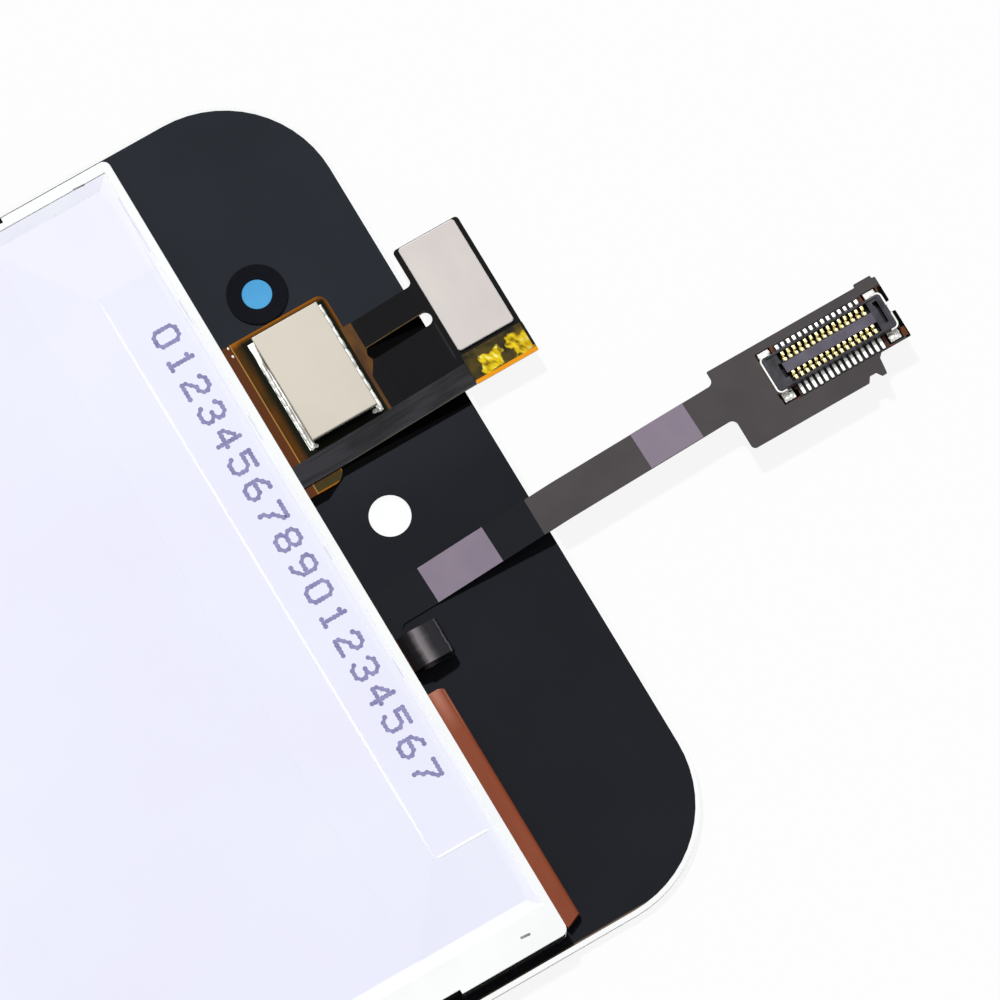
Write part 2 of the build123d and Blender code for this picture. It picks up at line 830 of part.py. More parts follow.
def solder_nail(end):
    """The nail at one end of the housing: a band round the end, with a leg and a foot on each side."""
    with BuildPart() as nail:
        with BuildSketch(seat):
            RectangleRounded(2 * nail_outer, 2 * nail_end, nail_inner_radius + nail_thickness)
            RectangleRounded(
                2 * nail_inner,
                2 * (housing_half + nail_clearance),
                nail_inner_radius,
                mode=Mode.SUBTRACT,
            )
            with Locations((0, end * (nail_end - nail_leg / 2))):
                Rectangle(2 * nail_outer, nail_leg, mode=Mode.INTERSECT)
        extrude(amount=nail_height)
        with BuildSketch(seat):
            with Locations((-(nail_inner + nail_foot_span_left) / 2, end * foot_y)):
                Rectangle(nail_foot_span_left - nail_inner, nail_foot_length)
            with Locations(((nail_inner + nail_foot_span_right) / 2, end * foot_y)):
                Rectangle(nail_foot_span_right - nail_inner, nail_foot_length)
        extrude(amount=nail_foot_thickness)
    return nail


nail_root = solder_nail(-1)
with BuildPart() as nail_tip:
    add(solder_nail(1).part)
    with BuildSketch(seat):
        with Locations((0, nail_end)):
            Rectangle(nail_notch, 2 * nail_leg)
    extrude(amount=nail_height, mode=Mode.SUBTRACT)

# Touch flex: one sheet, flat on the print under the shield, climbing past the glass to its head
arm_rise_y = module_end + arm_root
head_tip_y = head_y + head_length
touch_sheet = bent_sheet(
    board_left_x - flex_air,
    board_tongue_x + flex_air,
    [
        (board_y, print_top + flex_thickness / 2),
        (arm_rise_y, print_top + flex_thickness / 2),
        (glass_end, head_level + flex_thickness / 2),
        (head_tip_y + flex_air, head_level + flex_thickness / 2),
    ],
    arm_bend_radius,
    flex_thickness,
)
board_top_y = module_end + board_length
tongue_top_y = module_end + board_tongue_length
slot_y_start = module_end + arm_slot_start
slot_y_end = glass_end + arm_slot_end
with BuildPart() as touch_flex:
    add(touch_sheet.part)
    with BuildSketch() as touch_plan:
        with Locations(((board_left_x + touch_right_x) / 2, (board_y + board_top_y) / 2)):
            Rectangle(touch_right_x - board_left_x, board_top_y - board_y)
        with Locations(((board_left_x + board_tongue_x) / 2, (board_y + tongue_top_y) / 2)):
            Rectangle(board_tongue_x - board_left_x, tongue_top_y - board_y)
        with Locations(((arm_left_x + touch_right_x) / 2, (board_y + head_tip_y) / 2)):
            Rectangle(touch_right_x - arm_left_x, head_tip_y - board_y)
        with Locations(((head_left_x + touch_right_x) / 2, (head_y + head_tip_y) / 2)):
            Rectangle(touch_right_x - head_left_x, head_tip_y - head_y)
        fillet(touch_plan.vertices().sort_by_distance((board_left_x, board_top_y))[0], board_corner_radius)
        fillet(touch_plan.vertices().sort_by_distance((board_tongue_x, tongue_top_y))[0], tongue_corner_radius)
        fillet(touch_plan.vertices().sort_by_distance((arm_left_x, head_y))[0], arm_inner_radius)
        fillet(touch_plan.vertices().sort_by_distance((head_left_x, head_y))[0], head_corner_radius)
        fillet(touch_plan.vertices().sort_by_distance((head_left_x, head_tip_y))[0], head_corner_radius)
        fillet(touch_plan.vertices().sort_by_distance((touch_right_x, head_tip_y))[0], head_corner_radius)
        with Locations((arm_slot_x, (slot_y_start + slot_y_end) / 2)):
            SlotOverall(slot_y_end - slot_y_start, arm_slot_width, rotation=90, mode=Mode.SUBTRACT)
    extrude(amount=module_top, mode=Mode.INTERSECT)

# Steel plate on the head, and the bare end of the head with its test pads under clear tape
head_middle_y = (head_y + head_tip_y) / 2
head_plate_x = head_left_x + head_plate_inset + head_plate_length / 2
with BuildPart() as head_plate:
    with BuildSketch(Plane.XY.offset(head_top)):
        with Locations((head_plate_x, head_middle_y)):
            RectangleRounded(head_plate_length, head_plate_width, head_plate_radius)
    extrude(amount=head_plate_thickness)
    chamfer(head_plate.faces().sort_by(Axis.Z)[-1].edges(), length=head_plate_chamfer)

tape_x_start = head_plate_x + head_plate_length / 2 + tape_gap
tape_x_end = touch_right_x + tape_overhang
tape_y_start = head_y + strip_overlap + tape_margin
tape_y_end = head_tip_y + tape_margin
test_pad_x = (tape_x_start + touch_right_x) / 2
with BuildPart() as test_pads:
    with BuildSketch(Plane.XY.offset(head_top)):
        with Locations((test_pad_x, head_middle_y + test_pad_shift)):
            with GridLocations(0, test_pad_pitch, 1, 2):
                RectangleRounded(test_pad_length, test_pad_width, test_pad_corner_radius)
    extrude(amount=test_pad_thickness)

with BuildPart() as head_tape:
    with BuildSketch(Plane.XY.offset(head_top)):
        with Locations(((tape_x_start + tape_x_end) / 2, (tape_y_start + tape_y_end) / 2)):
            RectangleRounded(tape_x_end - tape_x_start, tape_y_end - tape_y_start, tape_corner_radius)
    extrude(amount=tape_thickness)
    add(test_pads.part, mode=Mode.SUBTRACT)

# Plug under the head: a trough whose long walls carry the contacts
plug_seat = Plane(origin=(head_plate_x, head_middle_y, head_level), x_dir=(1, 0, 0), z_dir=(0, 0, -1))
with BuildPart() as plug_housing:
    with BuildSketch(plug_seat):
        RectangleRounded(plug_length, plug_width, plug_corner_radius)
    extrude(amount=plug_height)
    with BuildSketch(plug_seat.offset(plug_floor)):
        Rectangle(plug_length - 2 * plug_end_wall, plug_width - 2 * plug_wall)
    extrude(amount=plug_height, mode=Mode.SUBTRACT)

wall_outer = (plug_width + contact_thickness) / 2
wall_inner = (plug_width - contact_thickness) / 2 - plug_wall
with BuildPart() as plug_contact:
    with BuildSketch(Plane.YZ):
        with BuildLine():
            Polyline(
                (wall_outer + plug_contact_foot, contact_foot),
                (wall_outer, contact_foot),
                (wall_outer, plug_height + contact_foot),
                (wall_inner, plug_height + contact_foot),
                (wall_inner, plug_height - plug_contact_lap),
            )
        trace(line_width=contact_thickness)
    extrude(amount=contact_width / 2, both=True)

with BuildPart() as plug_contacts:
    with Locations(plug_seat):
        with GridLocations(contact_pitch, 0, plug_contact_count, 1):
            add(plug_contact.part)
            add(plug_contact.part, rotation=(0, 0, 180))

# Shield over the touch controller: a soldered frame with feet, and a lid pressed over it
controller_row_length = controller_gap + controller_length + capacitor_gap + capacitor_length + capacitor_end_gap
shield_length = controller_row_length + 2 * shield_wall
shield_width = controller_width + 2 * (controller_side_gap + shield_wall)
shield_y = module_end + shield_setback
shield_left = shield_x - shield_length / 2
shield_right = shield_x + shield_length / 2
shield_front = shield_y - shield_width / 2
shield_back = shield_y + shield_width / 2
shield_top = flex_top + shield_height
foot_right = shield_right + shield_foot_reach
foot_middle_x = (shield_left + foot_right) / 2
with BuildPart() as shield_frame:
    with BuildSketch(Plane.XY.offset(flex_top)):
        with Locations((shield_x, shield_y)):
            Rectangle(shield_length, shield_width)
            Rectangle(shield_length - 2 * shield_wall, shield_width - 2 * shield_wall, mode=Mode.SUBTRACT)
    extrude(amount=shield_height)
    with BuildSketch(Plane.XY.offset(shield_top - shield_wall)):
        with Locations((shield_x, shield_y)):
            Rectangle(shield_length, shield_width)
            Rectangle(
                shield_length - 2 * shield_top_rail,
                shield_width - 2 * shield_top_rail,
                mode=Mode.SUBTRACT,
            )
    extrude(amount=shield_wall)
    with BuildSketch(Plane.XY.offset(flex_top)):
        with Locations((foot_middle_x, shield_front - shield_foot_front / 2)):
            Rectangle(foot_right - shield_left, shield_foot_front)
        with Locations((foot_middle_x, shield_back + shield_foot_back / 2)):
            Rectangle(foot_right - shield_left, shield_foot_back)
        with Locations((foot_middle_x, shield_back + shield_foot_back / 2)):
            with GridLocations(shield_foot_pitch, 0, 2, 1):
                Rectangle(shield_foot_gap, shield_foot_back, mode=Mode.SUBTRACT)
    extrude(amount=shield_foot_thickness)
    # The wall beside the ground strip is open below its rail
    with BuildSketch(Plane.XY.offset(flex_top)):
        with Locations((shield_right, shield_y)):
            Rectangle(2 * shield_top_rail, shield_width - 2 * shield_mouth_margin)
    extrude(amount=shield_height - 2 * shield_wall, mode=Mode.SUBTRACT)

lid_reach = lid_clearance + lid_thickness
with BuildPart() as shield_lid:
    with BuildSketch(Plane.XY.offset(shield_top - lid_skirt)):
        with Locations((shield_x, shield_y)):
            Rectangle(shield_length + 2 * lid_reach, shield_width + 2 * lid_reach)
    extrude(amount=lid_skirt + lid_thickness)
    with BuildSketch(Plane.XY.offset(shield_top - lid_skirt)):
        with Locations((shield_x, shield_y)):
            Rectangle(shield_length + 2 * lid_clearance, shield_width + 2 * lid_clearance)
    extrude(amount=lid_skirt, mode=Mode.SUBTRACT)
    chamfer(shield_lid.faces().sort_by(Axis.Z)[-1].edges(), length=lid_thickness / 2)

controller_x = shield_left + shield_wall + controller_gap + controller_length / 2
capacitor_x = controller_x + (controller_length + capacitor_length) / 2 + capacitor_gap
with BuildPart() as touch_controller:
    with BuildSketch(Plane.XY.offset(flex_top)):
        with Locations((controller_x, shield_y)):
            Rectangle(controller_length, controller_width)
    extrude(amount=controller_thickness)

with BuildPart() as board_capacitors:
    with BuildSketch(Plane.XY.offset(flex_top)):
        with Locations((capacitor_x, shield_y)):
            with GridLocations(0, capacitor_pitch, 1, capacitor_count):
                Rectangle(capacitor_length, capacitor_width)
    extrude(amount=capacitor_height)

# Ground strip: it runs from the end of the module over the board and up onto the head
strip_crest_y = head_y - strip_overlap
strip_tip_y = head_y + strip_overlap
strip_half = strip_width / 2
strip_sheet = bent_sheet(
    min(strip_root_x, strip_tip_x) - strip_half - flex_air,
    max(strip_root_x, strip_tip_x) + strip_half + flex_air,
    [
        (module_end, flex_top + flex_thickness / 2),
        (module_end + strip_flat, flex_top + flex_thickness / 2),
        (strip_crest_y, head_top + flex_thickness / 2),
        (strip_tip_y, head_top + flex_thickness / 2),
    ],
    strip_bend_radius,
    flex_thickness,
)
with BuildPart() as ground_strip:
    add(strip_sheet.part)
    with BuildSketch():
        with BuildLine():
            Polyline(
                (strip_root_x - strip_half, module_end),
                (strip_root_x + strip_half, module_end),
                (strip_tip_x + strip_half, strip_tip_y),
                (strip_tip_x - strip_half, strip_tip_y),
                close=True,
            )
        make_face()
    extrude(amount=module_top, mode=Mode.INTERSECT)

pieces = {
    "cover_glass": cover_glass,
    "border_print": border_print,
    "sensor_filter": sensor_filter,
    "sensor_gasket": sensor_gasket,
    "optical_adhesive": optical_adhesive,
    "touch_sensor_glass": touch_sensor_glass,
    "front_polariser": front_polariser,
    "colour_filter_glass": colour_filter_glass,
    "tft_glass": tft_glass,
    "rear_polariser": rear_polariser,
    "driver_chip": driver_chip,
    "lower_prism_film": lower_prism_film,
    "upper_prism_film": upper_prism_film,
    "diffuser_film": diffuser_film,
    "light_guide_plate": light_guide_plate,
    "backlight_lamps": backlight_lamps,
    "backlight_flex": backlight_flex,
    "backlight_frame": backlight_frame,
    "side_tape_left": side_tape_left,
    "side_tape_right": side_tape_right,
    "reflector_sheet": reflector_sheet,
    "panel_flex": panel_flex,
    "connector_flex": connector_flex,
    "connector_stiffener": connector_stiffener,
    "neck_pad_glass": neck_pad_glass,
    "neck_pad_free": neck_pad_free,
    "connector_housing": connector_housing,
    "contacts_left": contacts_left,
    "contacts_right": contacts_right,
    "nail_root": nail_root,
    "nail_tip": nail_tip,
    "touch_flex": touch_flex,
    "head_plate": head_plate,
    "head_tape": head_tape,
    "test_pads": test_pads,
    "plug_housing": plug_housing,
    "plug_contacts": plug_contacts,
    "shield_frame": shield_frame,
    "shield_lid": shield_lid,
    "touch_controller": touch_controller,
    "board_capacitors": board_capacitors,
    "ground_strip": ground_strip,
}
os.makedirs("parts", exist_ok=True)
for name, piece in pieces.items():
    piece.part.label = name
    export_step(piece.part, f"parts/{name}.step")
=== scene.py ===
"""Finish, fine detail, light and camera for the display assembly of a portable player, seen from its back.

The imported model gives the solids. This script rounds and dresses them, adds the solder, the print and the
creases that are too fine for the solids, and sets the floor, the lamp and the camera.
"""

import logging
import math
from dataclasses import dataclass
from enum import Enum
from typing import Any, Callable, Iterable, Sequence

import bmesh
import bpy
from mathutils import Matrix, Vector


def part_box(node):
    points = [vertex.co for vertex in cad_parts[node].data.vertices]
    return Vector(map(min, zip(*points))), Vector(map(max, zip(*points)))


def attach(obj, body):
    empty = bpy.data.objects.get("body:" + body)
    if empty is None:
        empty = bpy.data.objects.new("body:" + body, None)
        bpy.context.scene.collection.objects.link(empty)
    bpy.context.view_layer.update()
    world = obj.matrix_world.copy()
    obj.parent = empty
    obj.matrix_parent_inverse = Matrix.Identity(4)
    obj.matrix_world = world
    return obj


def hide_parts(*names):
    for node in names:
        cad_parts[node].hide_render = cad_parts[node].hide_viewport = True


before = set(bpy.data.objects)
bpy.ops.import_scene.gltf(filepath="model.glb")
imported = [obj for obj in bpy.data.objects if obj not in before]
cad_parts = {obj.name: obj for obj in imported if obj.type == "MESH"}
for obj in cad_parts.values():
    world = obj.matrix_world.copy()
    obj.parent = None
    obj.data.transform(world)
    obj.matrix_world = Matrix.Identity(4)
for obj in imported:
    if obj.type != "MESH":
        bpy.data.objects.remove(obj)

log = logging.getLogger("display")
MM = 0.001
MICRON = 0.000001
EDGE = 20 * MICRON
HALF = 0.5
WELD = 0.5 * MICRON
FLAT_ANGLE = math.radians(0.5)
BEVEL_ANGLE = math.radians(35)
SHARP_ANGLE = math.radians(40)
RIDGE_ANGLE = math.radians(60)
ROOT = "root"
WHITE = "ffffff"
BLACK = "000000"
SHADER_INPUTS = {
    "colour": "Base Color",
    "rough": "Roughness",
    "specular": "Specular IOR Level",
    "metallic": "Metallic",
    "coat": "Coat Weight",
    "clear": "Transmission Weight",
    "index": "IOR",
}
GROWTH_INPUTS = {
    "Start": "NodeSocketVector",
    "Step": "NodeSocketVector",
    "Size": "NodeSocketVector",
    "Count": "NodeSocketInt",
    "Seed": "NodeSocketInt",
    "Finish": "NodeSocketMaterial",
}
GLYPHS = {
    "0": "01110 10001 10001 10001 10001 10001 01110",
    "1": "00100 01100 00100 00100 00100 00100 01110",
    "2": "01110 10001 00001 00110 01000 10000 11111",
    "3": "01110 10001 00001 00110 00001 10001 01110",
    "4": "00010 00110 01010 10010 11111 00010 00010",
    "5": "11111 10000 11110 00001 00001 10001 01110",
    "6": "00110 01000 10000 11110 10001 10001 01110",
    "7": "11111 00001 00010 00100 00100 01000 01000",
    "8": "01110 10001 10001 01110 10001 10001 01110",
    "9": "01110 10001 10001 01111 00001 00010 01100",
}
Socket = bpy.types.NodeSocket
Material = bpy.types.Material
Piece = bpy.types.Object
Colour = tuple[float, float, float, float]
Size = tuple[float, ...]
Stops = tuple[tuple[float, str], ...]
EVEN = (1.0, 1.0, 1.0)


class Side(Enum):
    """The two long sides of the board connector."""

    LEFT = -1
    RIGHT = 1


class Slot(Enum):
    """Names of the record's material slots, handed to grow, which does not use them."""

    GLASS = "cover_glass"
    PRINT = "black_print"
    FRAME = "white_frame"
    REFLECTOR = "reflector_film"
    LAMP_FLEX = "lamp_flex"
    COPPER_FLEX = "copper_flex"
    GREY_FLEX = "grey_flex"
    HOUSING = "connector_body"
    GOLD = "gold_contact"
    TIN = "tinned_nail"
    TOUCH_FLEX = "touch_flex"
    HEAD_PLATE = "head_plate"
    AMBER = "amber_tape"
    SHIELD = "shield_metal"
    STRIP = "ground_strip"


def mm(*values: float) -> Size:
    """Lengths given in millimetres, in metres."""
    return tuple(value * MM for value in values)


def screen(code: str) -> Colour:
    """The linear colour that shows as a six-digit screen colour.

    Args:
        code: Six hexadecimal digits, red first.

    Returns:
        Linear red, green and blue, and an alpha of one.
    """
    toe, toe_slope, offset, power = 0.04045, 12.92, 0.055, 2.4
    shares = [int(code[i : i + 2], 16) / 255 for i in (0, 2, 4)]
    linear = [s / toe_slope if s <= toe else ((s + offset) / (1 + offset)) ** power for s in shares]
    return (linear[0], linear[1], linear[2], 1.0)


@dataclass(frozen=True)
class Span:
    """The box that a solid takes up, in metres."""

    low: Vector
    high: Vector

    @classmethod
    def of(cls, node: str) -> "Span":
        """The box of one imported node."""
        low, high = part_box(node)
        return cls(low, high)

    @property
    def middle(self) -> Vector:
        """The centre of the box."""
        return (self.low + self.high) / 2


class Graph:
    """A node tree while it is put together."""

    def __init__(self, tree: bpy.types.NodeTree) -> None:
        """Takes the tree that the nodes go into."""
        self.tree = tree

    def put(self, socket: Socket, value: Any) -> None:
        """Gives an input its number, its screen colour or the socket that feeds it."""
        if isinstance(value, Socket):
            self.tree.links.new(value, socket)
        else:
            socket.default_value = screen(value) if isinstance(value, str) else value

    def node(self, kind: str, inputs: dict[Any, Any], **settings: Any) -> bpy.types.Node:
        """Adds a node.

        Args:
            kind: The node's type.
            inputs: Values or sockets for its inputs, by name or number.
            settings: Values for its own properties.

        Returns:
            The new node.
        """
        made = self.tree.nodes.new(kind)
        for name, value in settings.items():
            setattr(made, name, value)
        for name, value in inputs.items():
            self.put(made.inputs[name], value)
        return made

    def fold(self, operation: str, *values: Any) -> Socket:
        """Joins values and sockets, from the left, by one kind of arithmetic."""
        total = values[0]
        for value in values[1:]:
            total = self.node("ShaderNodeMath", {0: total, 1: value}, operation=operation).outputs[0]
        return total

    def times(self, *values: Any) -> Socket:
        """The product of several values."""
        return self.fold("MULTIPLY", *values)

    def plus(self, *values: Any) -> Socket:
        """The sum of several values."""
        return self.fold("ADD", *values)

    def most(self, *values: Any) -> Socket:
        """The largest of several values."""
        return self.fold("MAXIMUM", *values)

    def spread(self, share: Socket, low: float, high: float) -> Socket:
        """A value that runs from low to high as a share runs from 0 to 1."""
        return self.node("ShaderNodeMapRange", {0: share, 3: low, 4: high}).outputs[0]


class Recipe(Graph):
    """A material while it is put together: one principled shader and the nodes that feed it."""

    def __init__(self, name: str) -> None:
        """Starts an empty material of that name."""
        self.material = bpy.data.materials.new(name)
        self.material.use_nodes = True
        super().__init__(self.material.node_tree)
        self.here = self.tree.nodes.new("ShaderNodeTexCoord").outputs["Object"]
        self.x, self.y, self.z = self.node("ShaderNodeSeparateXYZ", {0: self.here}).outputs

    def noise(self, size: float, detail: float = 2.0, stretch: Size = EVEN, lean: float = 0.0) -> Socket:
        """Smooth random variation.

        Args:
            size: The size of its patches, in metres.
            detail: How many finer layers it has.
            stretch: How much longer the patches are on each axis.
            lean: The turn of the patches about the vertical, in radians.

        Returns:
            A value around one half.
        """
        turned = self.node("ShaderNodeMapping", {"Vector": self.here, "Rotation": (0.0, 0.0, -lean)})
        shares = tuple(1.0 / (size * s) for s in stretch)
        scaled = self.node("ShaderNodeMapping", {"Vector": turned.outputs[0], "Scale": shares})
        made = self.node("ShaderNodeTexNoise", {"Vector": scaled.outputs[0], "Scale": 1.0, "Detail": detail})
        return made.outputs[0]

    def away(self, value: Socket, middle: float) -> Socket:
        """The distance of a value from a middle, to either side."""
        return self.fold("ABSOLUTE", self.plus(value, -middle), 0.0)

    def rise(self, value: Socket, start: float, end: float) -> Socket:
        """A share that grows from 0 at start to 1 at end, and holds outside."""
        return self.node("ShaderNodeMapRange", {0: value, 1: start, 2: end}, clamp=True).outputs[0]

    def band(self, value: Socket, start: float, end: float, soft: float = EDGE) -> Socket:
        """A share that is 1 between start and end and 0 outside, with soft edges of a given width."""
        up = self.rise(value, start - soft / 2, start + soft / 2)
        return self.times(up, self.rise(value, end + soft / 2, end - soft / 2))

    def rim(self, value: Socket, low: float, high: float, width: float, full: float = 0.0) -> Socket:
        """A share that grows towards both ends of a range.

        Args:
            value: The value that runs through the range.
            low: The low end.
            high: The high end.
            width: How far from an end it starts.
            full: How far from an end it is 1.

        Returns:
            The share.
        """
        near_low = self.rise(value, low + width, low + full)
        return self.most(near_low, self.rise(value, high - width, high - full))

    def blend(self, share: Any, first: Any, second: Any) -> Socket:
        """A colour between two: the first at share 0 and the second at 1."""
        return self.node("ShaderNodeMix", {0: share, 6: first, 7: second}, data_type="RGBA").outputs[2]

    def patches(self, source: Socket, *stops: tuple[float, str]) -> Socket:
        """Colours laid along a value, each stop a place and a screen colour."""
        made = self.node("ShaderNodeValToRGB", {0: source})
        marks = made.color_ramp.elements
        while len(marks) < len(stops):
            marks.new(1.0)
        for mark, (place, code) in zip(marks, stops):
            mark.position = place
            mark.color = screen(code)
        return made.outputs[0]

    def finish(self, height: Socket, depth: float, **values: Any) -> Material:
        """Shapes the surface, feeds the shader and gives the material.

        Args:
            height: What shapes the surface, from 0 to 1.
            depth: The height that 1 stands for, in metres.
            values: Numbers, colours or sockets for the shader, by their short names.

        Returns:
            The finished material.
        """
        shader = self.tree.nodes["Principled BSDF"]
        bump = self.node("ShaderNodeBump", {"Height": height, "Distance": depth, "Strength": 1.0})
        self.put(shader.inputs["Normal"], bump.outputs[0])
        for name, value in values.items():
            self.put(shader.inputs[SHADER_INPUTS[name]], value)
        return self.material


@dataclass(frozen=True)
class Coat:
    """A plain painted, printed, moulded or laminated skin with a slow drift of colour and a fine grain."""

    name: str
    colour: str
    drift: str
    roughness: float = 0.5
    specular: float = 0.5
    patch: float = 3.0 * MM
    grain: float = 0.12 * MM
    depth: float = 1.5 * MICRON
    gloss: float = 0.0
    metallic: float = 0.0
    stretch: Size = EVEN
    unevenness: float = 0.15

    def make(self) -> Material:
        """The material of this coat."""
        mix = Recipe(self.name)
        slow = mix.noise(self.patch, 3.0, self.stretch)
        fine = mix.noise(self.grain, 2.0, self.stretch)
        smooth, rough = (self.roughness * (1.0 + sign * self.unevenness) for sign in (-1, 1))
        return mix.finish(
            fine,
            self.depth,
            colour=mix.patches(slow, (0.3, self.colour), (0.7, self.drift)),
            rough=mix.spread(fine, smooth, rough),
            specular=self.specular,
            coat=self.gloss,
            metallic=self.metallic,
        )


@dataclass(frozen=True)
class Clear:
    """A clear or tinted sheet that light passes through, faintly uneven in its tint and surface."""

    name: str
    tint: str
    drift: str
    index: float = 1.5
    roughness: float = 0.0
    patch: float = 4.0 * MM
    depth: float = 0.2 * MICRON

    def make(self) -> Material:
        """The material of this sheet."""
        mix = Recipe(self.name)
        slow = mix.noise(self.patch)
        tint = mix.patches(slow, (0.35, self.tint), (0.65, self.drift))
        return mix.finish(slow, self.depth, colour=tint, clear=1.0, index=self.index, rough=self.roughness)


@dataclass(frozen=True)
class Mottled:
    """Bright metal with dark patches, as crumpled foil or uneven solder."""

    name: str
    stops: Stops
    patch: float
    detail: float
    bump: float
    depth: float
    roughness: float
    stretch: Size = EVEN
    metallic: float = 0.85

    def make(self) -> Material:
        """The material of this metal."""
        mix = Recipe(self.name)
        skin = mix.patches(mix.noise(self.patch, self.detail, self.stretch), *self.stops)
        return mix.finish(
            mix.noise(self.bump), self.depth, colour=skin, metallic=self.metallic, rough=self.roughness
        )


@dataclass(frozen=True)
class BorderInk:
    """The black print on the glass: cool beside the board, plainer past the long flex, with clouds in it.

    On the back it has painted shadow under the touch board and its arms and beside its tongue, and a beige
    line at one side.
    """

    name: str = "border_ink"
    cool: str = "2b2f35"
    plain: str = "232429"
    painted_shadow_black: str = "020203"
    beige: str = "6f5f4e"
    cloud: float = 6.0 * MM
    dimming: float = 0.12
    grain: float = 0.08 * MM
    depth: float = 0.6 * MICRON
    roughness: float = 0.55
    specular: float = 0.015
    cool_x: float = -7.0 * MM
    plain_x: float = 0.0 * MM
    shadow_left: float = -11.4 * MM
    shadow_right: float = -3.56 * MM
    shadow_start: float = 43.0 * MM
    shadow_end: float = 54.68 * MM
    shadow_soft: float = 40 * MICRON
    tongue_right: float = -2.82 * MM
    tongue_bend: float = 44.2 * MM
    tongue_slant: float = 0.5
    tongue_end: float = 45.6 * MM
    tongue_soft: float = 60 * MICRON
    beige_width: float = 0.12 * MM
    back_start: float = 15 * MICRON
    back_full: float = 5 * MICRON

    def make(self) -> Material:
        """The material of the print."""
        mix = Recipe(self.name)
        box = Span.of("border_print")
        base = mix.blend(mix.rise(mix.x, self.cool_x, self.plain_x), self.cool, self.plain)
        cloud = mix.rise(mix.noise(self.cloud, 3.0), 0.3, 0.7)
        shade = mix.blend(cloud, base, mix.blend(self.dimming, base, BLACK))
        on_back = mix.rise(mix.z, box.high.z - self.back_start, box.high.z - self.back_full)
        # Painted shadow: the back of the print turns near black under the touch board, between its arms and
        # beside its tongue.
        shade = mix.blend(mix.times(self.shadow_share(mix), on_back), shade, self.painted_shadow_black)
        at_side = mix.rise(mix.x, box.high.x - self.beige_width, box.high.x - self.beige_width / 2)
        return mix.finish(
            mix.noise(self.grain),
            self.depth,
            colour=mix.blend(mix.times(at_side, on_back), shade, self.beige),
            rough=self.roughness,
            specular=self.specular,
        )

    def shadow_share(self, mix: Recipe) -> Socket:
        """The share that is 1 where shadow is painted on the back of the print: under the board and its arms,
        and beside its tongue.
        """
        under = mix.times(
            mix.band(mix.x, self.shadow_left, self.shadow_right, self.shadow_soft),
            mix.band(mix.y, self.shadow_start, self.shadow_end, self.shadow_soft),
        )
        past_bend = mix.most(mix.plus(mix.y, -self.tongue_bend), 0.0)
        edge = mix.plus(mix.x, mix.times(past_bend, self.tongue_slant))
        beside = mix.times(
            mix.band(edge, self.shadow_right - self.beige_width, self.tongue_right, self.tongue_soft),
            mix.band(mix.y, self.shadow_start, self.tongue_end, self.shadow_soft),
        )
        return mix.most(under, beside)


@dataclass(frozen=True)
class ReflectorFilm:
    """The reflector's film: cool white, paler along its rim, with a faint pearl and shallow waves."""

    name: str = "reflector_film"
    centre: str = "e8e8f9"
    pale: str = "ebecfb"
    rim: str = "f3f5fd"
    rim_width: float = 0.7 * MM
    cloud: float = 14.0 * MM
    wave: float = 5.0 * MM
    depth: float = 6.0 * MICRON
    roughness: float = 0.32
    specular: float = 0.3

    def make(self) -> Material:
        """The material of the film."""
        box = Span.of("reflector_sheet")
        mix = Recipe(self.name)
        body = mix.patches(mix.noise(self.cloud, 3.0), (0.35, self.centre), (0.65, self.pale))
        near_end = mix.rise(mix.y, box.high.y - self.rim_width, box.high.y)
        near_sides = mix.rim(mix.x, box.low.x, box.high.x, self.rim_width)
        return mix.finish(
            mix.noise(self.wave, 1.0),
            self.depth,
            colour=mix.blend(mix.most(near_end, near_sides), body, self.rim),
            rough=self.roughness,
            specular=self.specular,
        )


@dataclass(frozen=True)
class RolledFilm:
    """The lamp tail: glossy black film with a painted bright band where its arch faces the lamp, painted
    shade in the valley by the frame, and a painted highlight on its far edge.
    """

    name: str = "rolled_film"
    wander: float = 0.30 * MM
    streak: float = 0.9 * MM
    depth: float = 2.0 * MICRON
    roughness: float = 0.35
    specular: float = 0.05
    # Stops along the tail: painted shade in the valley by the frame, a painted highlight on the arch, a
    # painted highlight on the far edge and painted shade on the far face.
    stops: Stops = (
        (0.00, "2a120b"),
        (0.05, "170d0b"),
        (0.17, "121012"),
        (0.29, "1e1c1f"),
        (0.37, "5a5658"),
        (0.43, "827c7f"),
        (0.51, "757073"),
        (0.60, "474447"),
        (0.68, "2c2b2f"),
        (0.915, "2a292d"),
        (0.935, "5d5b62"),
        (0.955, "504e55"),
        (0.97, "0e0d0f"),
        (1.00, "050505"),
    )

    def make(self) -> Material:
        """The material of the film."""
        start, end = Span.of("backlight_frame").high.y, Span.of("backlight_flex").high.y
        mix = Recipe(self.name)
        streaks = mix.noise(self.streak, 2.0, (0.5, 2.0, 1.0))
        shift = mix.times(mix.plus(streaks, -HALF), self.wander)
        painted_light_tones = mix.patches(mix.rise(mix.plus(mix.y, shift), start, end), *self.stops)
        return mix.finish(streaks, self.depth, colour=painted_light_tones, rough=self.roughness, specular=self.specular)


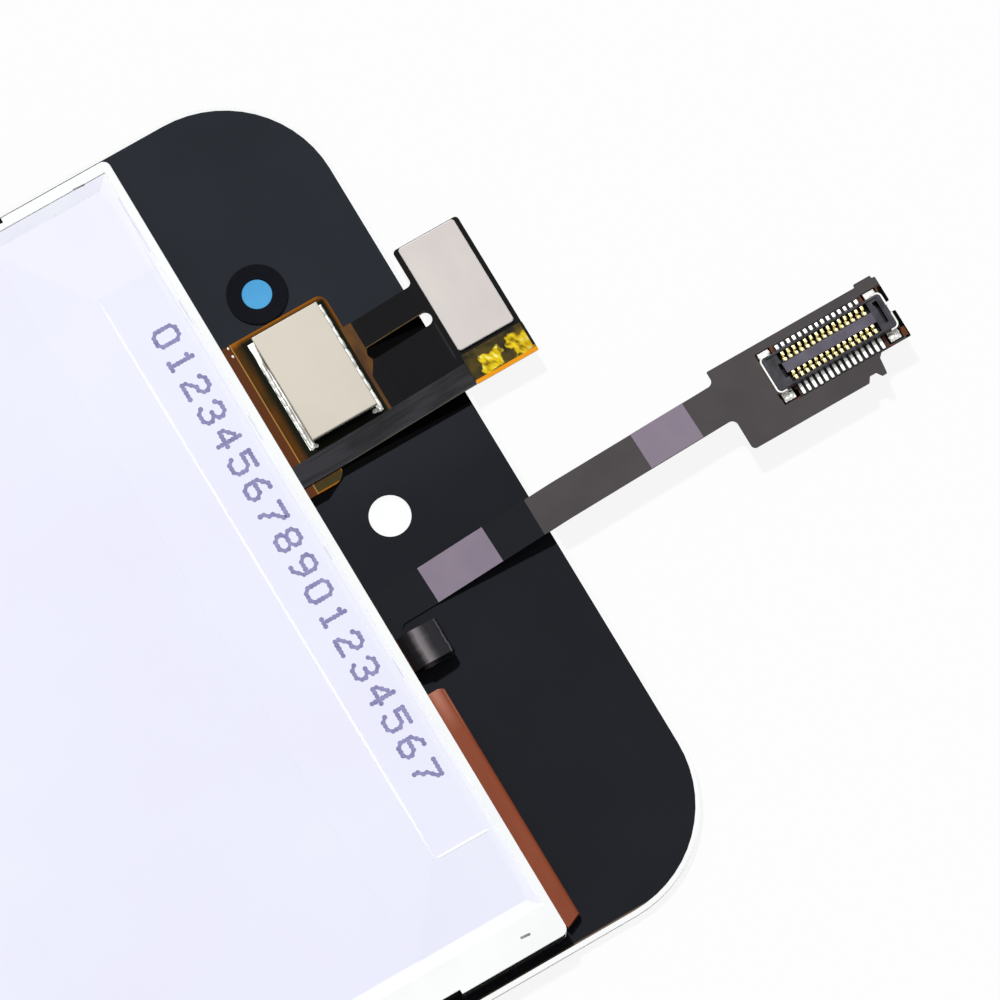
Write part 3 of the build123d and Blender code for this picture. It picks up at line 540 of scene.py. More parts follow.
@dataclass(frozen=True)
class CopperFilm:
    """The panel flex: red-brown copper under clear film, with a painted highlight at its start and along its
    outer edge, and a yellow bond edge.
    """

    name: str = "copper_film"
    body: str = "7d3c24"
    drift: str = "8a472e"
    bloom: str = "b97a66"
    glue: str = "7d7030"
    glow_share: float = 0.8
    highlight_start: float = 11.2 * MM
    highlight_end: float = 13.6 * MM
    highlight_margins: Size = mm(0.22, 0.38)
    highlight_soft: float = 0.40 * MM
    line_width: float = 0.14 * MM
    line_full: float = 0.05 * MM
    outer_full: float = 0.06 * MM
    outer_fade: Size = mm(14.5, 12.0)
    glue_width: float = 0.10 * MM
    cloud: float = 4.0 * MM
    wave: float = 0.8 * MM
    depth: float = 12.0 * MICRON
    roughness: float = 0.4
    specular: float = 0.1

    def make(self) -> Material:
        """The material of the film."""
        box = Span.of("panel_flex")
        edge = Span.of("backlight_frame").high.y
        mix = Recipe(self.name)
        cloud = mix.noise(self.cloud, 3.0, (3.0, 1.0, 1.0))
        skin = mix.patches(cloud, (0.35, self.body), (0.65, self.drift))
        inner, outer = self.highlight_margins
        # Painted highlight: a soft pale patch where the fold starts, and thin pale lines along its start and
        # its outer edge.
        middle = mix.times(
            mix.rise(mix.x, self.highlight_end, self.highlight_start),
            mix.band(mix.y, edge + inner, box.high.y - outer, self.highlight_soft),
        )
        start_line = mix.rise(mix.x, box.low.x + self.line_width, box.low.x + self.line_full)
        outer_line = mix.times(
            mix.band(mix.y, box.high.y - self.line_width, box.high.y - self.outer_full, self.outer_full),
            mix.rise(mix.x, *self.outer_fade),
        )
        glow = mix.times(mix.most(middle, start_line, outer_line), self.glow_share)
        skin = mix.blend(glow, skin, self.bloom)
        return mix.finish(
            mix.noise(self.wave, 2.0, (4.0, 1.0, 1.0)),
            self.depth,
            colour=mix.blend(mix.rise(mix.y, edge + self.glue_width, edge), skin, self.glue),
            rough=self.roughness,
            specular=self.specular,
        )


@dataclass(frozen=True)
class NeckFilm:
    """The long flex: black where it lies over the glass, grey past its end, with faint copper tracks."""

    name: str = "neck_film"
    black: str = "222327"
    grey: str = "4e4a4b"
    drift: str = "534f50"
    edge: str = "030303"
    border_y: float = 54.2 * MM
    tip_band: float = 0.33 * MM
    tip_start: float = 2.62 * MM
    tip_fade: float = 0.25 * MM
    track_pitch: float = 0.30 * MM
    track_share: float = 0.15
    cloud: float = 3.0 * MM
    grain: float = 0.10 * MM
    depth: float = 1.2 * MICRON
    roughness: float = 0.6
    specular: float = 0.02

    def make(self) -> Material:
        """The material of the film."""
        tip_y = Span.of("connector_flex").high.y - self.tip_band
        mix = Recipe(self.name)
        free = mix.patches(mix.noise(self.cloud, 3.0), (0.35, self.grey), (0.65, self.drift))
        past = mix.rise(mix.y, self.border_y - EDGE, self.border_y + EDGE)
        tip = mix.times(
            mix.rise(mix.y, tip_y, tip_y + 2 * EDGE),
            mix.rise(mix.x, self.tip_start, self.tip_start + self.tip_fade),
        )
        track = mix.fold("SINE", mix.times(mix.x, math.tau / self.track_pitch), 0.0)
        return mix.finish(
            mix.plus(mix.times(track, self.track_share), mix.noise(self.grain)),
            self.depth,
            colour=mix.blend(tip, mix.blend(past, self.black, free), self.edge),
            rough=self.roughness,
            specular=self.specular,
        )


@dataclass(frozen=True)
class BoardFilm:
    """The touch flex: amber board with its bond line at the panel, and black film on the arms and head."""

    name: str = "board_film"
    black: str = "151517"
    bond: str = "5d341c"
    line: str = "ab7d42"
    amber: str = "57340f"
    olive: str = "2e290f"
    green: str = "10140a"
    rim: str = "a4620f"
    cover: str = "4c3426"
    cover_pale: str = "664525"
    moss: str = "3d3a20"
    glint: str = "6e5a36"
    wear_and_glint: str = "343336"
    tongue_x: float = -3.42 * MM
    tongue_y: float = 45.80 * MM
    moss_start: float = 0.85 * MM
    moss_full: float = 0.45 * MM
    moss_share: float = 0.85
    slot_left: float = -9.845 * MM
    slot_line: float = 0.05 * MM
    slot_soft: float = 0.20 * MM
    glint_share: float = 0.8
    crease_y: float = 55.15 * MM
    crease_left: float = -8.90 * MM
    crease_right: float = -6.40 * MM
    crease_half: float = 0.05 * MM
    crease_soft: Size = mm(0.30, 0.05)
    crease_share: float = 0.7
    bond_end: float = 43.76 * MM
    line_width: float = 0.07 * MM
    cover_left: float = -11.75 * MM
    cover_start: float = 50.12 * MM
    arm_start: float = 50.83 * MM
    short_arm_start: float = 50.32 * MM
    step_left: float = -8.96 * MM
    step_right: float = -8.12 * MM
    rim_width: float = 0.42 * MM
    rim_full: float = 0.05 * MM
    side_rim: float = 0.12 * MM
    foot_rim: float = 0.08 * MM
    foot_soft: float = 60 * MICRON
    foot_reach: Size = mm(1.2, 1.1)
    halo: float = 0.42 * MM
    shade_reach: float = 3.0
    cloud: float = 1.5 * MM
    wave: float = 0.5 * MM
    grain: float = 0.08 * MM
    depth: float = 3.0 * MICRON
    roughness: Size = (0.32, 0.5)
    specular: float = 0.03

    def make(self) -> Material:
        """The material of the film."""
        mix = Recipe(self.name)
        on_arm = self.arm_share(mix)
        return mix.finish(
            mix.plus(mix.noise(self.wave, 3.0), mix.noise(self.grain)),
            self.depth,
            colour=mix.blend(on_arm, self.board(mix), self.arm_film(mix)),
            rough=mix.spread(on_arm, *self.roughness),
            specular=self.specular,
        )

    def board(self, mix: Recipe) -> Socket:
        """The colours of the board: bond, gold line, amber film, dark green round the shield with painted
        shade past its open side, and brown cover.
        """
        x, y = mix.x, mix.y
        shield = Span.of("shield_frame")
        cloud = mix.noise(self.cloud, 4.0, (1.8, 0.8, 1.0))
        film = mix.patches(cloud, (0.32, self.olive), (0.52, self.amber), (0.75, self.bond))
        tongue = mix.rise(x, self.tongue_x - self.moss_start, self.tongue_x - self.moss_full)
        film = mix.blend(mix.times(tongue, self.moss_share), film, self.moss)
        film = mix.blend(self.rim_share(mix), film, self.rim)
        # Dark green round the shield; on its open side it reaches three times further, as painted shade of
        # the opening.
        near_shield = mix.times(
            mix.band(x, shield.low.x - self.halo, shield.high.x + self.shade_reach * self.halo, self.halo),
            mix.band(y, shield.low.y - self.halo, shield.high.y + self.halo, self.halo),
        )
        film = mix.blend(near_shield, film, self.green)
        film = mix.blend(mix.rise(y, self.bond_end, self.bond_end - EDGE), film, self.bond)
        film = mix.blend(mix.band(y, self.bond_end, self.bond_end + self.line_width), film, self.line)
        covered = mix.times(
            mix.rise(y, self.cover_start, self.cover_start + EDGE),
            mix.rise(x, self.cover_left, self.cover_left + self.rim_full),
        )
        return mix.blend(covered, film, mix.patches(cloud, (0.40, self.cover), (0.62, self.cover_pale)))

    def rim_share(self, mix: Recipe) -> Socket:
        """The share that is 1 on the bright rims of the board and of its tongue."""
        left = Span.of("touch_flex").low.x
        foot = mix.times(
            mix.band(mix.y, self.tongue_y - self.foot_rim, self.tongue_y, self.foot_soft),
            mix.rise(mix.x, *(self.tongue_x - reach for reach in self.foot_reach)),
        )
        return mix.most(
            mix.rise(mix.x, left + self.rim_width, left + self.rim_full),
            mix.rise(mix.y, self.cover_start - self.rim_width, self.cover_start - self.rim_full),
            mix.rise(mix.x, self.tongue_x - self.side_rim, self.tongue_x - self.rim_full),
            foot,
        )

    def arm_film(self, mix: Recipe) -> Socket:
        """The colours of the black film: plain, with a painted highlight along the crease at its fold and a
        glint along the slot.
        """
        start, end = self.crease_y - self.crease_half, self.crease_y + self.crease_half
        # Painted highlight: a paler band across the arms where the film folds.
        crease = mix.times(
            mix.band(mix.x, self.crease_left, self.crease_right, self.crease_soft[0]),
            mix.band(mix.y, start, end, self.crease_soft[1]),
            self.crease_share,
        )
        slot_edge = mix.times(
            mix.band(mix.x, self.slot_left - self.slot_line, self.slot_left),
            mix.band(mix.y, self.arm_start, self.crease_y - self.slot_soft, self.slot_soft),
            self.glint_share,
        )
        return mix.blend(slot_edge, mix.blend(crease, self.black, self.wear_and_glint), self.glint)

    def arm_share(self, mix: Recipe) -> Socket:
        """The share that is 1 on the arms and the head, where the black film starts on a slanted step."""
        slant = mix.rise(mix.x, self.step_left, self.step_right)
        place = mix.plus(mix.y, mix.times(slant, self.arm_start - self.short_arm_start))
        return mix.rise(place, self.arm_start, self.arm_start + EDGE)


@dataclass(frozen=True)
class AmberTape:
    """Clear amber tape: olive over the film, crinkled yellow over the pads, orange at its hanging edge, with
    a painted highlight at its far corner and painted shade beside its end.
    """

    name: str = "amber_tape"
    dark: str = "1f1b0b"
    olive: str = "4d4012"
    orange: str = "ee9a0a"
    painted_light_honey: str = "c79a0c"
    shade: str = "0a0906"
    # The darkest and the palest stops are painted shade and painted highlights in the crinkles of the foil.
    foil: Stops = ((0.30, "6a5207"), (0.42, "c4a70a"), (0.50, "e8c80c"), (0.60, "f0d92c"), (0.67, "fff8b4"))
    lit_corner_y: Size = mm(1.1, 0.4)
    lit_corner_x: Size = mm(1.9, 0.7)
    lit_corner_share: float = 0.6
    rim_width: float = 0.24 * MM
    rim_soft: float = 40 * MICRON
    shade_width: float = 0.16 * MM
    shade_soft: float = 30 * MICRON
    shade_x: Size = mm(0.35, 0.45)
    pad_shift: float = 0.26 * MM
    pad_pitch: float = 2.05 * MM
    pad_reach: float = 0.72 * MM
    pad_soft: float = 0.14 * MM
    pad_ragged: float = 1.3 * MM
    cloud: float = 0.7 * MM
    crinkle: float = 0.42 * MM
    crinkle_lean: float = 0.6
    depth: float = 25.0 * MICRON
    roughness: float = 0.2
    specular: float = 0.15

    def make(self) -> Material:
        """The material of the tape."""
        end = Span.of("head_tape").high
        mix = Recipe(self.name)
        cloud = mix.noise(self.cloud, 4.0)
        crinkle = mix.noise(self.crinkle, 1.5, (1.6, 0.8, 1.0), self.crinkle_lean)
        body = mix.patches(cloud, (0.35, self.dark), (0.62, self.olive))
        body = mix.blend(self.pad_share(mix, cloud), body, mix.patches(crinkle, *self.foil))
        # Painted highlight: a paler honey patch towards the far corner of the tape.
        corner = mix.times(
            mix.rise(mix.y, *(end.y - inset for inset in self.lit_corner_y)),
            mix.rise(mix.x, *(end.x - inset for inset in self.lit_corner_x)),
            self.lit_corner_share,
        )
        body = mix.blend(corner, body, self.painted_light_honey)
        shaded = mix.times(
            mix.rise(mix.y, end.y - self.shade_width - self.shade_soft, end.y - self.shade_width),
            mix.rise(mix.x, *(end.x - inset for inset in self.shade_x)),
        )
        body = mix.blend(shaded, body, self.shade)
        side = mix.rise(mix.x, end.x - self.rim_width - self.rim_soft, end.x - self.rim_width)
        colour = mix.blend(side, body, self.orange)
        return mix.finish(crinkle, self.depth, colour=colour, rough=self.roughness, specular=self.specular)

    def pad_share(self, mix: Recipe, cloud: Socket) -> Socket:
        """The share that is 1 over the two test pads, with a ragged edge.

        Args:
            mix: The material.
            cloud: The noise that makes the edge ragged.

        Returns:
            The share.
        """
        middle = Span.of("test_pads").middle
        away_x = mix.away(mix.x, middle.x + self.pad_shift)
        away_y = mix.away(mix.away(mix.y, middle.y), self.pad_pitch / 2)
        ragged = mix.times(mix.plus(cloud, -HALF), self.pad_ragged)
        away = mix.plus(mix.most(away_x, away_y), ragged)
        return mix.rise(away, self.pad_reach, self.pad_reach - self.pad_soft)


@dataclass(frozen=True)
class RimmedSteel:
    """Flat sheet steel with a painted highlight along its rim, where a bevel would catch the light."""

    name: str
    node: str
    colour: str
    drift: str
    rim: str
    rim_width: float
    roughness: float = 0.5
    metallic: float = 0.35
    cloud: float = 2.5 * MM
    grain: float = 0.15 * MM
    depth: float = 0.8 * MICRON

    def make(self) -> Material:
        """The material of the sheet."""
        box = Span.of(self.node)
        mix = Recipe(self.name)
        cloud = mix.noise(self.cloud, 3.0, (2.0, 1.0, 1.0))
        skin = mix.patches(cloud, (0.3, self.colour), (0.7, self.drift))
        # Painted highlight: the rim of the sheet turns paler, standing in for a lit bevel.
        width, full = self.rim_width, self.rim_width / 2
        rim = mix.most(
            mix.rim(mix.x, box.low.x, box.high.x, width, full),
            mix.rim(mix.y, box.low.y, box.high.y, width, full),
        )
        return mix.finish(
            mix.noise(self.grain, 2.0, (6.0, 1.0, 1.0)),
            self.depth,
            colour=mix.blend(rim, skin, self.rim),
            metallic=self.metallic,
            rough=self.roughness,
        )


@dataclass(frozen=True)
class HousingPlastic:
    """The connector's moulding: dark walls, duller ends, a lighter mauve middle rib and painted shade on the
    floors of its recesses.
    """

    name: str = "housing_plastic"
    wall: str = "29282c"
    end: str = "303033"
    rib: str = "57535f"
    haze: str = "8a8696"
    haze_share: float = 0.25
    recess_shade: str = "060507"
    rib_half: float = 0.36 * MM
    row_half: float = 3.15 * MM
    row_soft: float = 50 * MICRON
    recess_shade_level: float = 0.42 * MM
    recess_shade_soft: float = 30 * MICRON
    inside_x: float = 1.02 * MM
    inside_y: float = 4.02 * MM
    cloud: float = 0.9 * MM
    grain: float = 0.08 * MM
    depth: float = 1.5 * MICRON
    roughness: float = 0.45
    specular: float = 0.12

    def make(self) -> Material:
        """The material of the moulding."""
        box = Span.of("connector_housing")
        mix = Recipe(self.name)
        away_x, away_y = mix.away(mix.x, box.middle.x), mix.away(mix.y, box.middle.y)
        at_rib = mix.rise(away_x, self.rib_half + EDGE, self.rib_half)
        at_row = mix.rise(away_y, self.row_half + self.row_soft, self.row_half)
        body = mix.blend(at_row, self.end, self.wall)
        body = mix.blend(mix.times(at_rib, at_row), body, self.rib)
        cloud = mix.rise(mix.noise(self.cloud, 3.0), 0.35, 0.75)
        body = mix.blend(cloud, body, mix.blend(self.haze_share, body, self.haze))
        # Painted shade: the floors of the recesses between the walls turn near black.
        level = box.low.z + self.recess_shade_level
        inside = mix.times(
            mix.rise(mix.z, level + self.recess_shade_soft, level),
            mix.rise(away_x, self.inside_x + EDGE, self.inside_x),
            mix.rise(away_y, self.inside_y + EDGE, self.inside_y),
        )
        colour = mix.blend(inside, body, self.recess_shade)
        return mix.finish(
            mix.noise(self.grain), self.depth, colour=colour, rough=self.roughness, specular=self.specular
        )


@dataclass(frozen=True)
class PlatedContact:
    """A contact: gold inside the housing and tinned where it is soldered outside."""

    name: str = "plated_contact"
    gold: str = "f6ecb0"
    wear_and_glint: str = "a98b45"
    tin: str = "e9e9e6"
    shade: str = "1c1a1a"
    half_width: float = 1.10 * MM
    shade_width: float = 0.17 * MM
    soft: float = 40 * MICRON
    cloud: float = 0.15 * MM
    depth: float = 1.0 * MICRON
    metallic: float = 0.85
    roughness: float = 0.3

    def make(self) -> Material:
        """The material of the contacts."""
        mix = Recipe(self.name)
        cloud = mix.noise(self.cloud, 3.0)
        gold = mix.patches(cloud, (0.30, self.wear_and_glint), (0.52, self.gold))
        away = mix.away(mix.x, Span.of("connector_housing").middle.x)
        plated = mix.blend(mix.rise(away, self.half_width, self.half_width + self.soft), gold, self.tin)
        by_wall = mix.band(away, self.half_width, self.half_width + self.shade_width, self.soft)
        colour = mix.blend(by_wall, plated, self.shade)
        return mix.finish(cloud, self.depth, colour=colour, metallic=self.metallic, rough=self.roughness)


@dataclass(frozen=True)
class PadWindow:
    """The bare strip under the contacts' feet: black between them, red-brown copper at its ends."""

    name: str = "pad_window"
    black: str = "0b0a0a"
    copper: str = "6b2c08"
    margin: float = 0.10 * MM
    soft: float = 60 * MICRON
    cloud: float = 0.3 * MM
    depth: float = 3.0 * MICRON
    roughness: float = 0.35
    specular: float = 0.2

    def make(self) -> Material:
        """The material of the strip."""
        box = Span.of("contacts_right")
        mix = Recipe(self.name)
        reach = (box.high.y - box.low.y) / 2 + self.margin
        ends = mix.rise(mix.away(mix.y, box.middle.y), reach, reach + self.soft)
        cloud = mix.noise(self.cloud, 3.0)
        tint = mix.patches(cloud, (0.4, self.black), (0.55, self.copper))
        colour = mix.blend(ends, self.black, tint)
        return mix.finish(cloud, self.depth, colour=colour, rough=self.roughness, specular=self.specular)


@dataclass(frozen=True)
class StripFabric:
    """Black conductive fabric: faint long streaks that lean with the strip, and a painted glint along one
    edge.
    """

    name: str = "strip_fabric"
    dark: str = "29292c"
    light: str = "38383c"
    wear_and_glint: str = "625c50"
    lean: float = math.radians(0.86)
    edge_glint_width: float = 0.06 * MM
    edge_glint_start: float = 46.0 * MM
    edge_glint_fade: float = 0.5 * MM
    edge_glint_share: float = 0.8
    streak: float = 0.35 * MM
    grain: float = 0.07 * MM
    depth: float = 3.0 * MICRON
    roughness: float = 0.55
    specular: float = 0.03

    def make(self) -> Material:
        """The material of the fabric."""
        box = Span.of("ground_strip")
        mix = Recipe(self.name)
        streaks = mix.noise(self.streak, 3.0, (1.0, 12.0, 1.0), self.lean)
        skin = mix.patches(streaks, (0.38, self.dark), (0.62, self.light))
        place = mix.plus(mix.x, mix.times(mix.plus(mix.y, -box.low.y), math.tan(self.lean)))
        # Painted highlight: a thin pale line along the strip's right edge, past the board.
        edge = mix.times(
            mix.rise(place, box.high.x - self.edge_glint_width, box.high.x - self.edge_glint_width / 2),
            mix.rise(mix.y, self.edge_glint_start, self.edge_glint_start + self.edge_glint_fade),
            self.edge_glint_share,
        )
        return mix.finish(
            mix.noise(self.grain, 2.0, (1.0, 4.0, 1.0), self.lean),
            self.depth,
            colour=mix.blend(edge, skin, self.wear_and_glint),
            rough=self.roughness,
            specular=self.specular,
        )


class Growth(Graph):
    """A Geometry Nodes tree while it is put together, with named inputs for its sizes."""

    def __init__(self, name: str, *inputs: str) -> None:
        """Starts a tree that takes seats and gives a mesh.

        Args:
            name: The name of the tree.
            inputs: The names of its own inputs, beside Unevenness, Seed and Finish.
        """
        super().__init__(bpy.data.node_groups.new(name, "GeometryNodeTree"))
        ports = self.tree.interface
        ports.new_socket("Seats", in_out="INPUT", socket_type="NodeSocketGeometry")
        ports.new_socket("Mesh", in_out="OUTPUT", socket_type="NodeSocketGeometry")
        for word in (*inputs, "Unevenness", "Seed", "Finish"):
            ports.new_socket(word, in_out="INPUT", socket_type=GROWTH_INPUTS.get(word, "NodeSocketFloat"))
        self.given = self.tree.nodes.new("NodeGroupInput").outputs

    def scatter(self, points: Socket, shape: Socket, size: Any, most: Any) -> Socket:
        """Sets a copy of a shape on each point, each with a random size of its own.

        Args:
            points: The points.
            shape: The shape.
            size: Its size, as a vector.
            most: The largest share of that size.

        Returns:
            The copies.
        """
        least = self.fold("SUBTRACT", 1.0, self.given["Unevenness"])
        chance = self.node(
            "FunctionNodeRandomValue", {2: least, 3: most, "Seed": self.given["Seed"]}, data_type="FLOAT"
        )
        scaled = self.node("ShaderNodeVectorMath", {0: size, "Scale": chance.outputs[1]}, operation="SCALE")
        inputs = {"Points": points, "Instance": shape, "Scale": scaled.outputs[0]}
        return self.node("GeometryNodeInstanceOnPoints", inputs).outputs[0]

    def close(self, mesh: Socket, smooth: bool = True) -> bpy.types.NodeTree:
        """Makes the result real, paints it and ends the tree.

        Args:
            mesh: The socket that gives the copies.
            smooth: Whether their faces are shaded smooth.

        Returns:
            The finished tree.
        """
        real = self.node("GeometryNodeRealizeInstances", {0: mesh})
        shaded = self.node("GeometryNodeSetShadeSmooth", {0: real.outputs[0], "Shade Smooth": smooth})
        painted = self.node(
            "GeometryNodeSetMaterial", {"Geometry": shaded.outputs[0], "Material": self.given["Finish"]}
        )
        self.node("NodeGroupOutput", {0: painted.outputs[0]})
        return self.tree


def bead_tree() -> bpy.types.NodeTree:
    """A tree that sets an uneven bead of metal on each seat, with inputs Size and Ripple of its own."""
    wave_size = 0.16 * MM
    growth = Growth("beads_on_seats", "Size", "Ripple")
    given = growth.given
    ball = growth.node("GeometryNodeMeshIcoSphere", {"Radius": HALF, "Subdivisions": 3}).outputs[0]
    beads = growth.scatter(given["Seats"], ball, given["Size"], growth.plus(1.0, given["Unevenness"]))
    real = growth.node("GeometryNodeRealizeInstances", {0: beads}).outputs[0]
    wave = growth.node("ShaderNodeTexNoise", {"Scale": 1.0 / wave_size, "Detail": 1.0}).outputs[0]
    lift = growth.times(growth.plus(wave, -HALF), given["Ripple"])
    normal = growth.node("GeometryNodeInputNormal", {}).outputs[0]
    push = growth.node("ShaderNodeVectorMath", {0: normal, "Scale": lift}, operation="SCALE").outputs[0]
    return growth.close(growth.node("GeometryNodeSetPosition", {"Geometry": real, "Offset": push}).outputs[0])


def row_tree() -> bpy.types.NodeTree:
    """A tree that sets rounded caps in a straight row, with inputs Start, Step, Count and Size of its own."""
    rounding = {"Level": 3, "Edge Crease": 0.42}
    growth = Growth("caps_in_a_row", "Start", "Step", "Count", "Size")
    given = growth.given
    run = {"Count": given["Count"], "Start Location": given["Start"], "Offset": given["Step"]}
    line = growth.node("GeometryNodeMeshLine", run).outputs[0]
    block = growth.node("GeometryNodeMeshCube", {"Size": EVEN}).outputs[0]
    cap = growth.node("GeometryNodeSubdivisionSurface", {"Mesh": block, **rounding}).outputs[0]
    return growth.close(growth.scatter(line, cap, given["Size"], growth.plus(1.0, given["Unevenness"])))


def dot_tree() -> bpy.types.NodeTree:
    """A tree that sets a thin round dot of ink on each seat, with inputs Dot and Film of its own."""
    growth = Growth("ink_dots", "Dot", "Film")
    given = growth.given
    sizes = {"Vertices": 12, "Radius": growth.times(given["Dot"], HALF), "Depth": given["Film"]}
    disc = growth.node("GeometryNodeMeshCylinder", sizes, fill_type="NGON").outputs[0]
    return growth.close(growth.scatter(given["Seats"], disc, EVEN, 1.0), smooth=False)


def placed(name: str, mesh: bpy.types.Mesh) -> Piece:
    """A new object with that mesh, in the scene at the origin."""
    made = bpy.data.objects.new(name, mesh)
    bpy.context.scene.collection.objects.link(made)
    return made


def own(piece: Piece, finish: Material | None = None) -> Piece:
    """Lets a finished piece ride on the object.

    Args:
        piece: A mesh object at the origin.
        finish: The material, unless the piece has it.

    Returns:
        The same piece.
    """
    if finish:
        piece.data.materials.append(finish)
    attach(piece, ROOT)
    log.info("%s: %d faces", piece.name, len(piece.data.polygons))
    return piece


def grow(name: str, tree: bpy.types.NodeTree, seats: Iterable[Vector], slot: Slot, **values: Any) -> Piece:
    """Runs a tree on some seats and keeps the plain mesh.

    Args:
        name: The piece's name.
        tree: The Geometry Nodes tree.
        seats: Points for the tree to work on, none if it makes its own.
        slot: The record's slot of the piece; not used.
        values: The tree's inputs, by their names.

    Returns:
        The finished piece.
    """
    mesh = bpy.data.meshes.new(name + "_seats")
    mesh.from_pydata([tuple(s) for s in seats], [], [])
    carrier = placed(name, mesh)
    modifier = carrier.modifiers.new("growth", "NODES")
    modifier.node_group = tree
    places = {item.name: item.identifier for item in tree.interface.items_tree if item.in_out == "INPUT"}
    for key, value in values.items():
        modifier[places[key]] = value
    carrier.update_tag()
    graph = bpy.context.evaluated_depsgraph_get()
    plain = bpy.data.meshes.new_from_object(carrier.evaluated_get(graph))
    carrier.modifiers.remove(modifier)
    carrier.data = plain
    return own(carrier)


def merged(node: str, name: str) -> Piece:
    """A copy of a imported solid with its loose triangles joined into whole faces.

    Args:
        node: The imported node.
        name: The name of the copy.

    Returns:
        The copy, not yet riding on anything.
    """
    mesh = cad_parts[node].data.copy()
    mesh.name = name
    shape = bmesh.new()
    shape.from_mesh(mesh)
    bmesh.ops.remove_doubles(shape, verts=shape.verts, dist=WELD)
    bmesh.ops.dissolve_limit(
        shape, angle_limit=FLAT_ANGLE, verts=shape.verts, edges=shape.edges, use_dissolve_boundaries=False
    )
    shape.to_mesh(mesh)
    shape.free()
    if mesh.attributes.get("custom_normal"):
        mesh.attributes.remove(mesh.attributes["custom_normal"])
    mesh.materials.clear()
    return placed(name, mesh)


def rounded(node: str, finish: Material, radius: float, steps: int = 2) -> Piece:
    """A dressed copy of a solid with its sharp edges rounded, which stands for it.

    Args:
        node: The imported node.
        finish: The material.
        radius: The width of the rounding, in metres.
        steps: How many facets it has.

    Returns:
        The finished piece.
    """
    made = merged(node, node + "_dressed")
    made.data.materials.append(finish)
    bevel = made.modifiers.new("edges", "BEVEL")
    bevel.width = radius
    bevel.segments = steps
    bevel.limit_method = "ANGLE"
    bevel.angle_limit = BEVEL_ANGLE
    bevel.use_clamp_overlap = True
    made.data.shade_smooth()
    made.data.set_sharp_from_angle(angle=SHARP_ANGLE)
    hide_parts(node)
    return own(made)


def dress(finish: Material, *nodes: str) -> None:
    """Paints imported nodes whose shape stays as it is."""
    for node in nodes:
        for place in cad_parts[node].material_slots:
            place.material = finish
        log.info("%s: painted %s", node, finish.name)


def solid(name: str, points: Iterable[Sequence[float]], faces: Sequence[Sequence[int]]) -> Piece:
    """A closed piece with its normals outward.

    Args:
        name: The piece's name.
        points: Its corners.
        faces: The corners of each face, by number.

    Returns:
        The piece, not yet riding on anything.
    """
    mesh = bpy.data.meshes.new(name)
    mesh.from_pydata([tuple(p) for p in points], [], faces)
    shape = bmesh.new()
    shape.from_mesh(mesh)
    bmesh.ops.recalc_face_normals(shape, faces=shape.faces)
    shape.to_mesh(mesh)
    shape.free()
    return placed(name, mesh)


def corners(left: float, front: float, right: float, back: float, level: float) -> list[Size]:
    """The corners of a level rectangle, anticlockwise from above."""
    return [(left, front, level), (right, front, level), (right, back, level), (left, back, level)]


def slab(name: str, flat: Size, bottom: float, top: float) -> Piece:
    """A thin box.

    Args:
        name: The piece's name.
        flat: Its left, front, right and back.
        bottom: The height of its lower face.
        top: The height of its upper face.

    Returns:
        The box, not yet riding on anything.
    """
    sides = [(i, (i + 1) % 4, (i + 1) % 4 + 4, i + 4) for i in range(4)]
    return solid(name, corners(*flat, bottom) + corners(*flat, top), [(3, 2, 1, 0), (4, 5, 6, 7), *sides])


def ring(name: str, loops: Sequence[Size]) -> Piece:
    """A closed rectangular ring.

    Args:
        name: The piece's name.
        loops: The lines along its section: left, front, right, back and height of each rectangle.

    Returns:
        The ring, not yet riding on anything.
    """
    faces = []
    for loop in range(len(loops)):
        first, second = 4 * loop, 4 * ((loop + 1) % len(loops))
        for corner in range(4):
            after = (corner + 1) % 4
            faces.append((first + corner, first + after, second + after, second + corner))
    return solid(name, [point for loop in loops for point in corners(*loop)], faces)


def ridge(name: str, start: Size, end: Size, level: float, width: float, height: float) -> Piece:
    """A low rounded ridge on a straight line, with pointed ends.

    Args:
        name: The piece's name.
        start: Where it starts in the plane.
        end: Where it ends in the plane.
        level: The height of its foot.
        width: Its width at the middle.
        height: Its height at the middle.

    Returns:
        The ridge, not yet riding on anything.
    """
    arcs, steps, taper, tip = 6, 24, 16.0, 0.02
    line = Vector((end[0] - start[0], end[1] - start[1], 0.0))
    across = Vector((-line.y, line.x, 0.0)).normalized()
    points = []
    for step in range(steps + 1):
        share = step / steps
        swell = min(1.0, tip + taper * min(share, 1.0 - share))
        middle = Vector((start[0], start[1], level)) + line * share
        for arc in range(arcs + 1):
            angle = math.pi * arc / arcs
            side = across * (-math.cos(angle) * width / 2 * swell)
            points.append(middle + side + Vector((0.0, 0.0, math.sin(angle) * height * swell)))
    around = arcs + 1
    faces = []
    for step in range(steps):
        for arc in range(around):
            first, second = step * around + arc, step * around + (arc + 1) % around
            faces.append((first, second, second + around, first + around))
    faces += [tuple(reversed(range(around))), tuple(range(steps * around, (steps + 1) * around))]
    made = solid(name, points, faces)
    made.data.shade_smooth()
    made.data.set_sharp_from_angle(angle=RIDGE_ANGLE)
    return made


